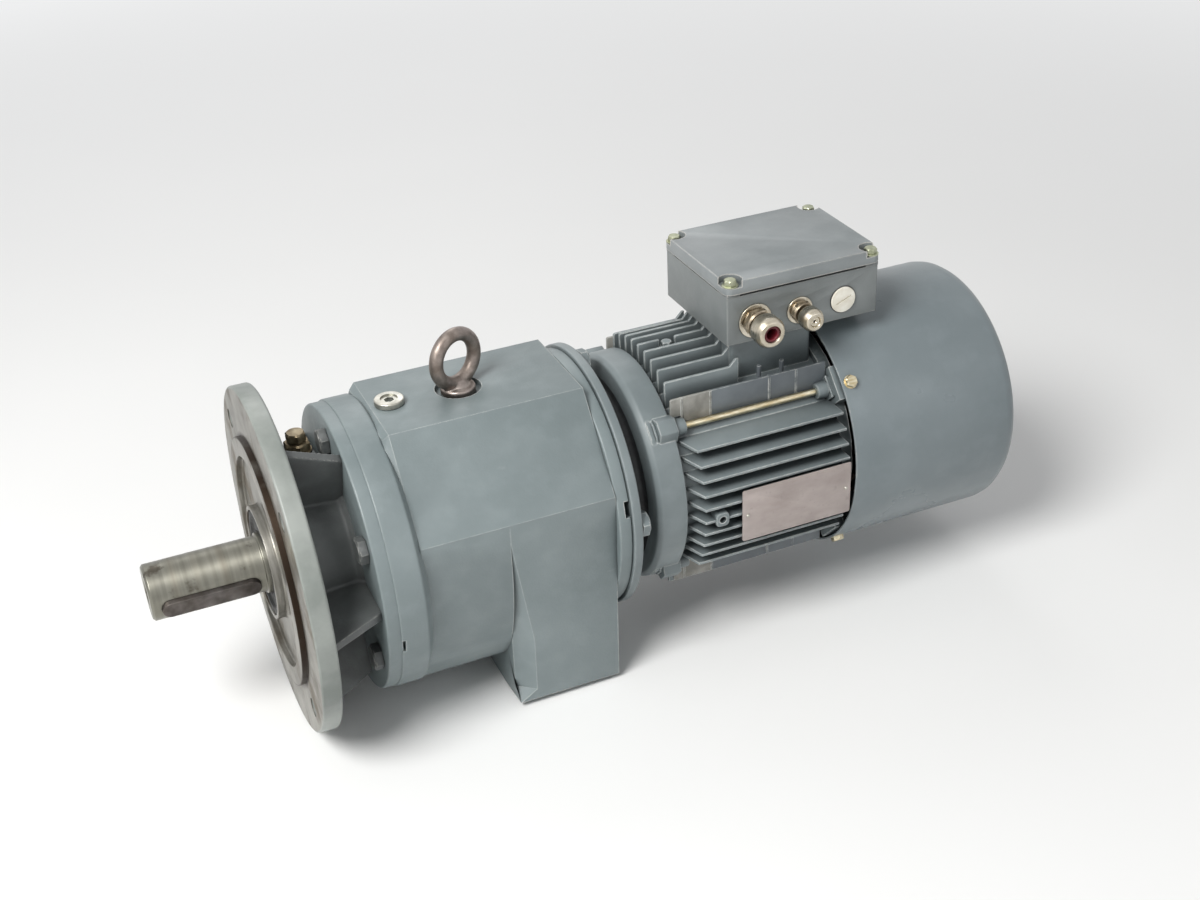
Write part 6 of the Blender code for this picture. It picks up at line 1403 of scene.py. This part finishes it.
def area_light(name, place, target, size, power, colour=(1.0, 1.0, 1.0)):
    data = bpy.data.lights.new(name, "AREA")
    data.shape = "DISK"
    data.size = size
    data.energy = power
    data.color = colour
    lamp = bpy.data.objects.new(name, data)
    lamp.location = place
    direction = Vector(target) - Vector(place)
    lamp.rotation_euler = direction.to_track_quat("-Z", "Y").to_euler()
    bpy.context.scene.collection.objects.link(lamp)


def seen_rays(tree):
    """Output that is 1 for camera, glossy and transmission rays and 0 for rays that light things."""
    path = tree.nodes.new("ShaderNodeLightPath")
    result = path.outputs["Is Camera Ray"]
    for name in ("Is Glossy Ray", "Is Transmission Ray"):
        larger = tree.nodes.new("ShaderNodeMath")
        larger.operation = "MAXIMUM"
        tree.links.new(result, larger.inputs[0])
        tree.links.new(path.outputs[name], larger.inputs[1])
        result = larger.outputs["Value"]
    return result


def surround():
    """World that lights softly and is pale where the camera or a reflection sees it."""
    world = bpy.data.worlds.new("surround")
    world.use_nodes = True
    tree = world.node_tree
    background = tree.nodes["Background"]
    background.inputs["Color"].default_value = (0.90, 0.905, 0.91, 1.0)
    strength = tree.nodes.new("ShaderNodeMapRange")
    strength.inputs["To Min"].default_value = WORLD_LIGHT
    strength.inputs["To Max"].default_value = WORLD_SEEN
    tree.links.new(seen_rays(tree), strength.inputs["Value"])
    tree.links.new(strength.outputs["Result"], background.inputs["Strength"])
    bpy.context.scene.world = world


def floor_finish():
    """Pale floor that shows its own colour near the object and blends into the surround beyond."""
    shader = Shader("floor_finish", 0.75)
    shader.colour(shader.mix(shader.noise(3.0, 2.0), (0.87, 0.87, 0.865), (0.91, 0.91, 0.905)))
    distance = shader.add("ShaderNodeVectorMath", {1: (0.22, 0.0, FLOOR_Z)}, operation="DISTANCE")
    geometry = shader.add("ShaderNodeNewGeometry")
    shader.link(geometry.outputs["Position"], distance.inputs[0])
    far = shader.math("MULTIPLY", shader.remap(distance.outputs["Value"], 0.6, 2.2),
                      seen_rays(shader.material.node_tree))
    glow = shader.add("ShaderNodeEmission", {"Color": (0.86, 0.865, 0.87, 1.0)})
    blend = shader.add("ShaderNodeMixShader")
    shader.link(far, blend.inputs["Fac"])
    shader.link(shader.bsdf.outputs["BSDF"], blend.inputs[1])
    shader.link(glow.outputs["Emission"], blend.inputs[2])
    output = next(node for node in shader.material.node_tree.nodes if node.type == "OUTPUT_MATERIAL")
    shader.link(blend.outputs["Shader"], output.inputs["Surface"])
    return shader.material


def stage():
    """Pale floor, pale surround and soft lamps."""
    half = 6.0
    floor_mesh = bpy.data.meshes.new("floor")
    bm = skin([[(x, y, z) for x, y in ((-half, -half), (half, -half), (half, half), (-half, half))]
               for z in (FLOOR_Z - 0.01, FLOOR_Z)])
    bm.to_mesh(floor_mesh)
    bm.free()
    floor = bpy.data.objects.new("floor", floor_mesh)
    bpy.context.scene.collection.objects.link(floor)
    floor_mesh.materials.append(floor_finish())
    surround()
    middle = (0.22, 0, 0)
    area_light("key_light", (-1.0, -0.75, 1.6), middle, 1.0, KEY_POWER, (1.0, 0.995, 0.98))
    area_light("fill_light", (0.9, -1.8, 1.0), middle, 1.4, FILL_POWER, (0.96, 0.98, 1.0))
    area_light("back_light", (0.5, 1.5, 1.3), middle, 1.2, BACK_POWER)
    bpy.context.scene.view_settings.view_transform = "Standard"


output_flange()
shaft_and_key()
gearbox_housing()
eye_bolt()
plugs()
covers()
stator_frame()
nameplate()
tie_rods()
fan_cowl()
terminal_box()
terminal_lid()
entry_fittings()
dress_inner_pieces()
camera()
stage()
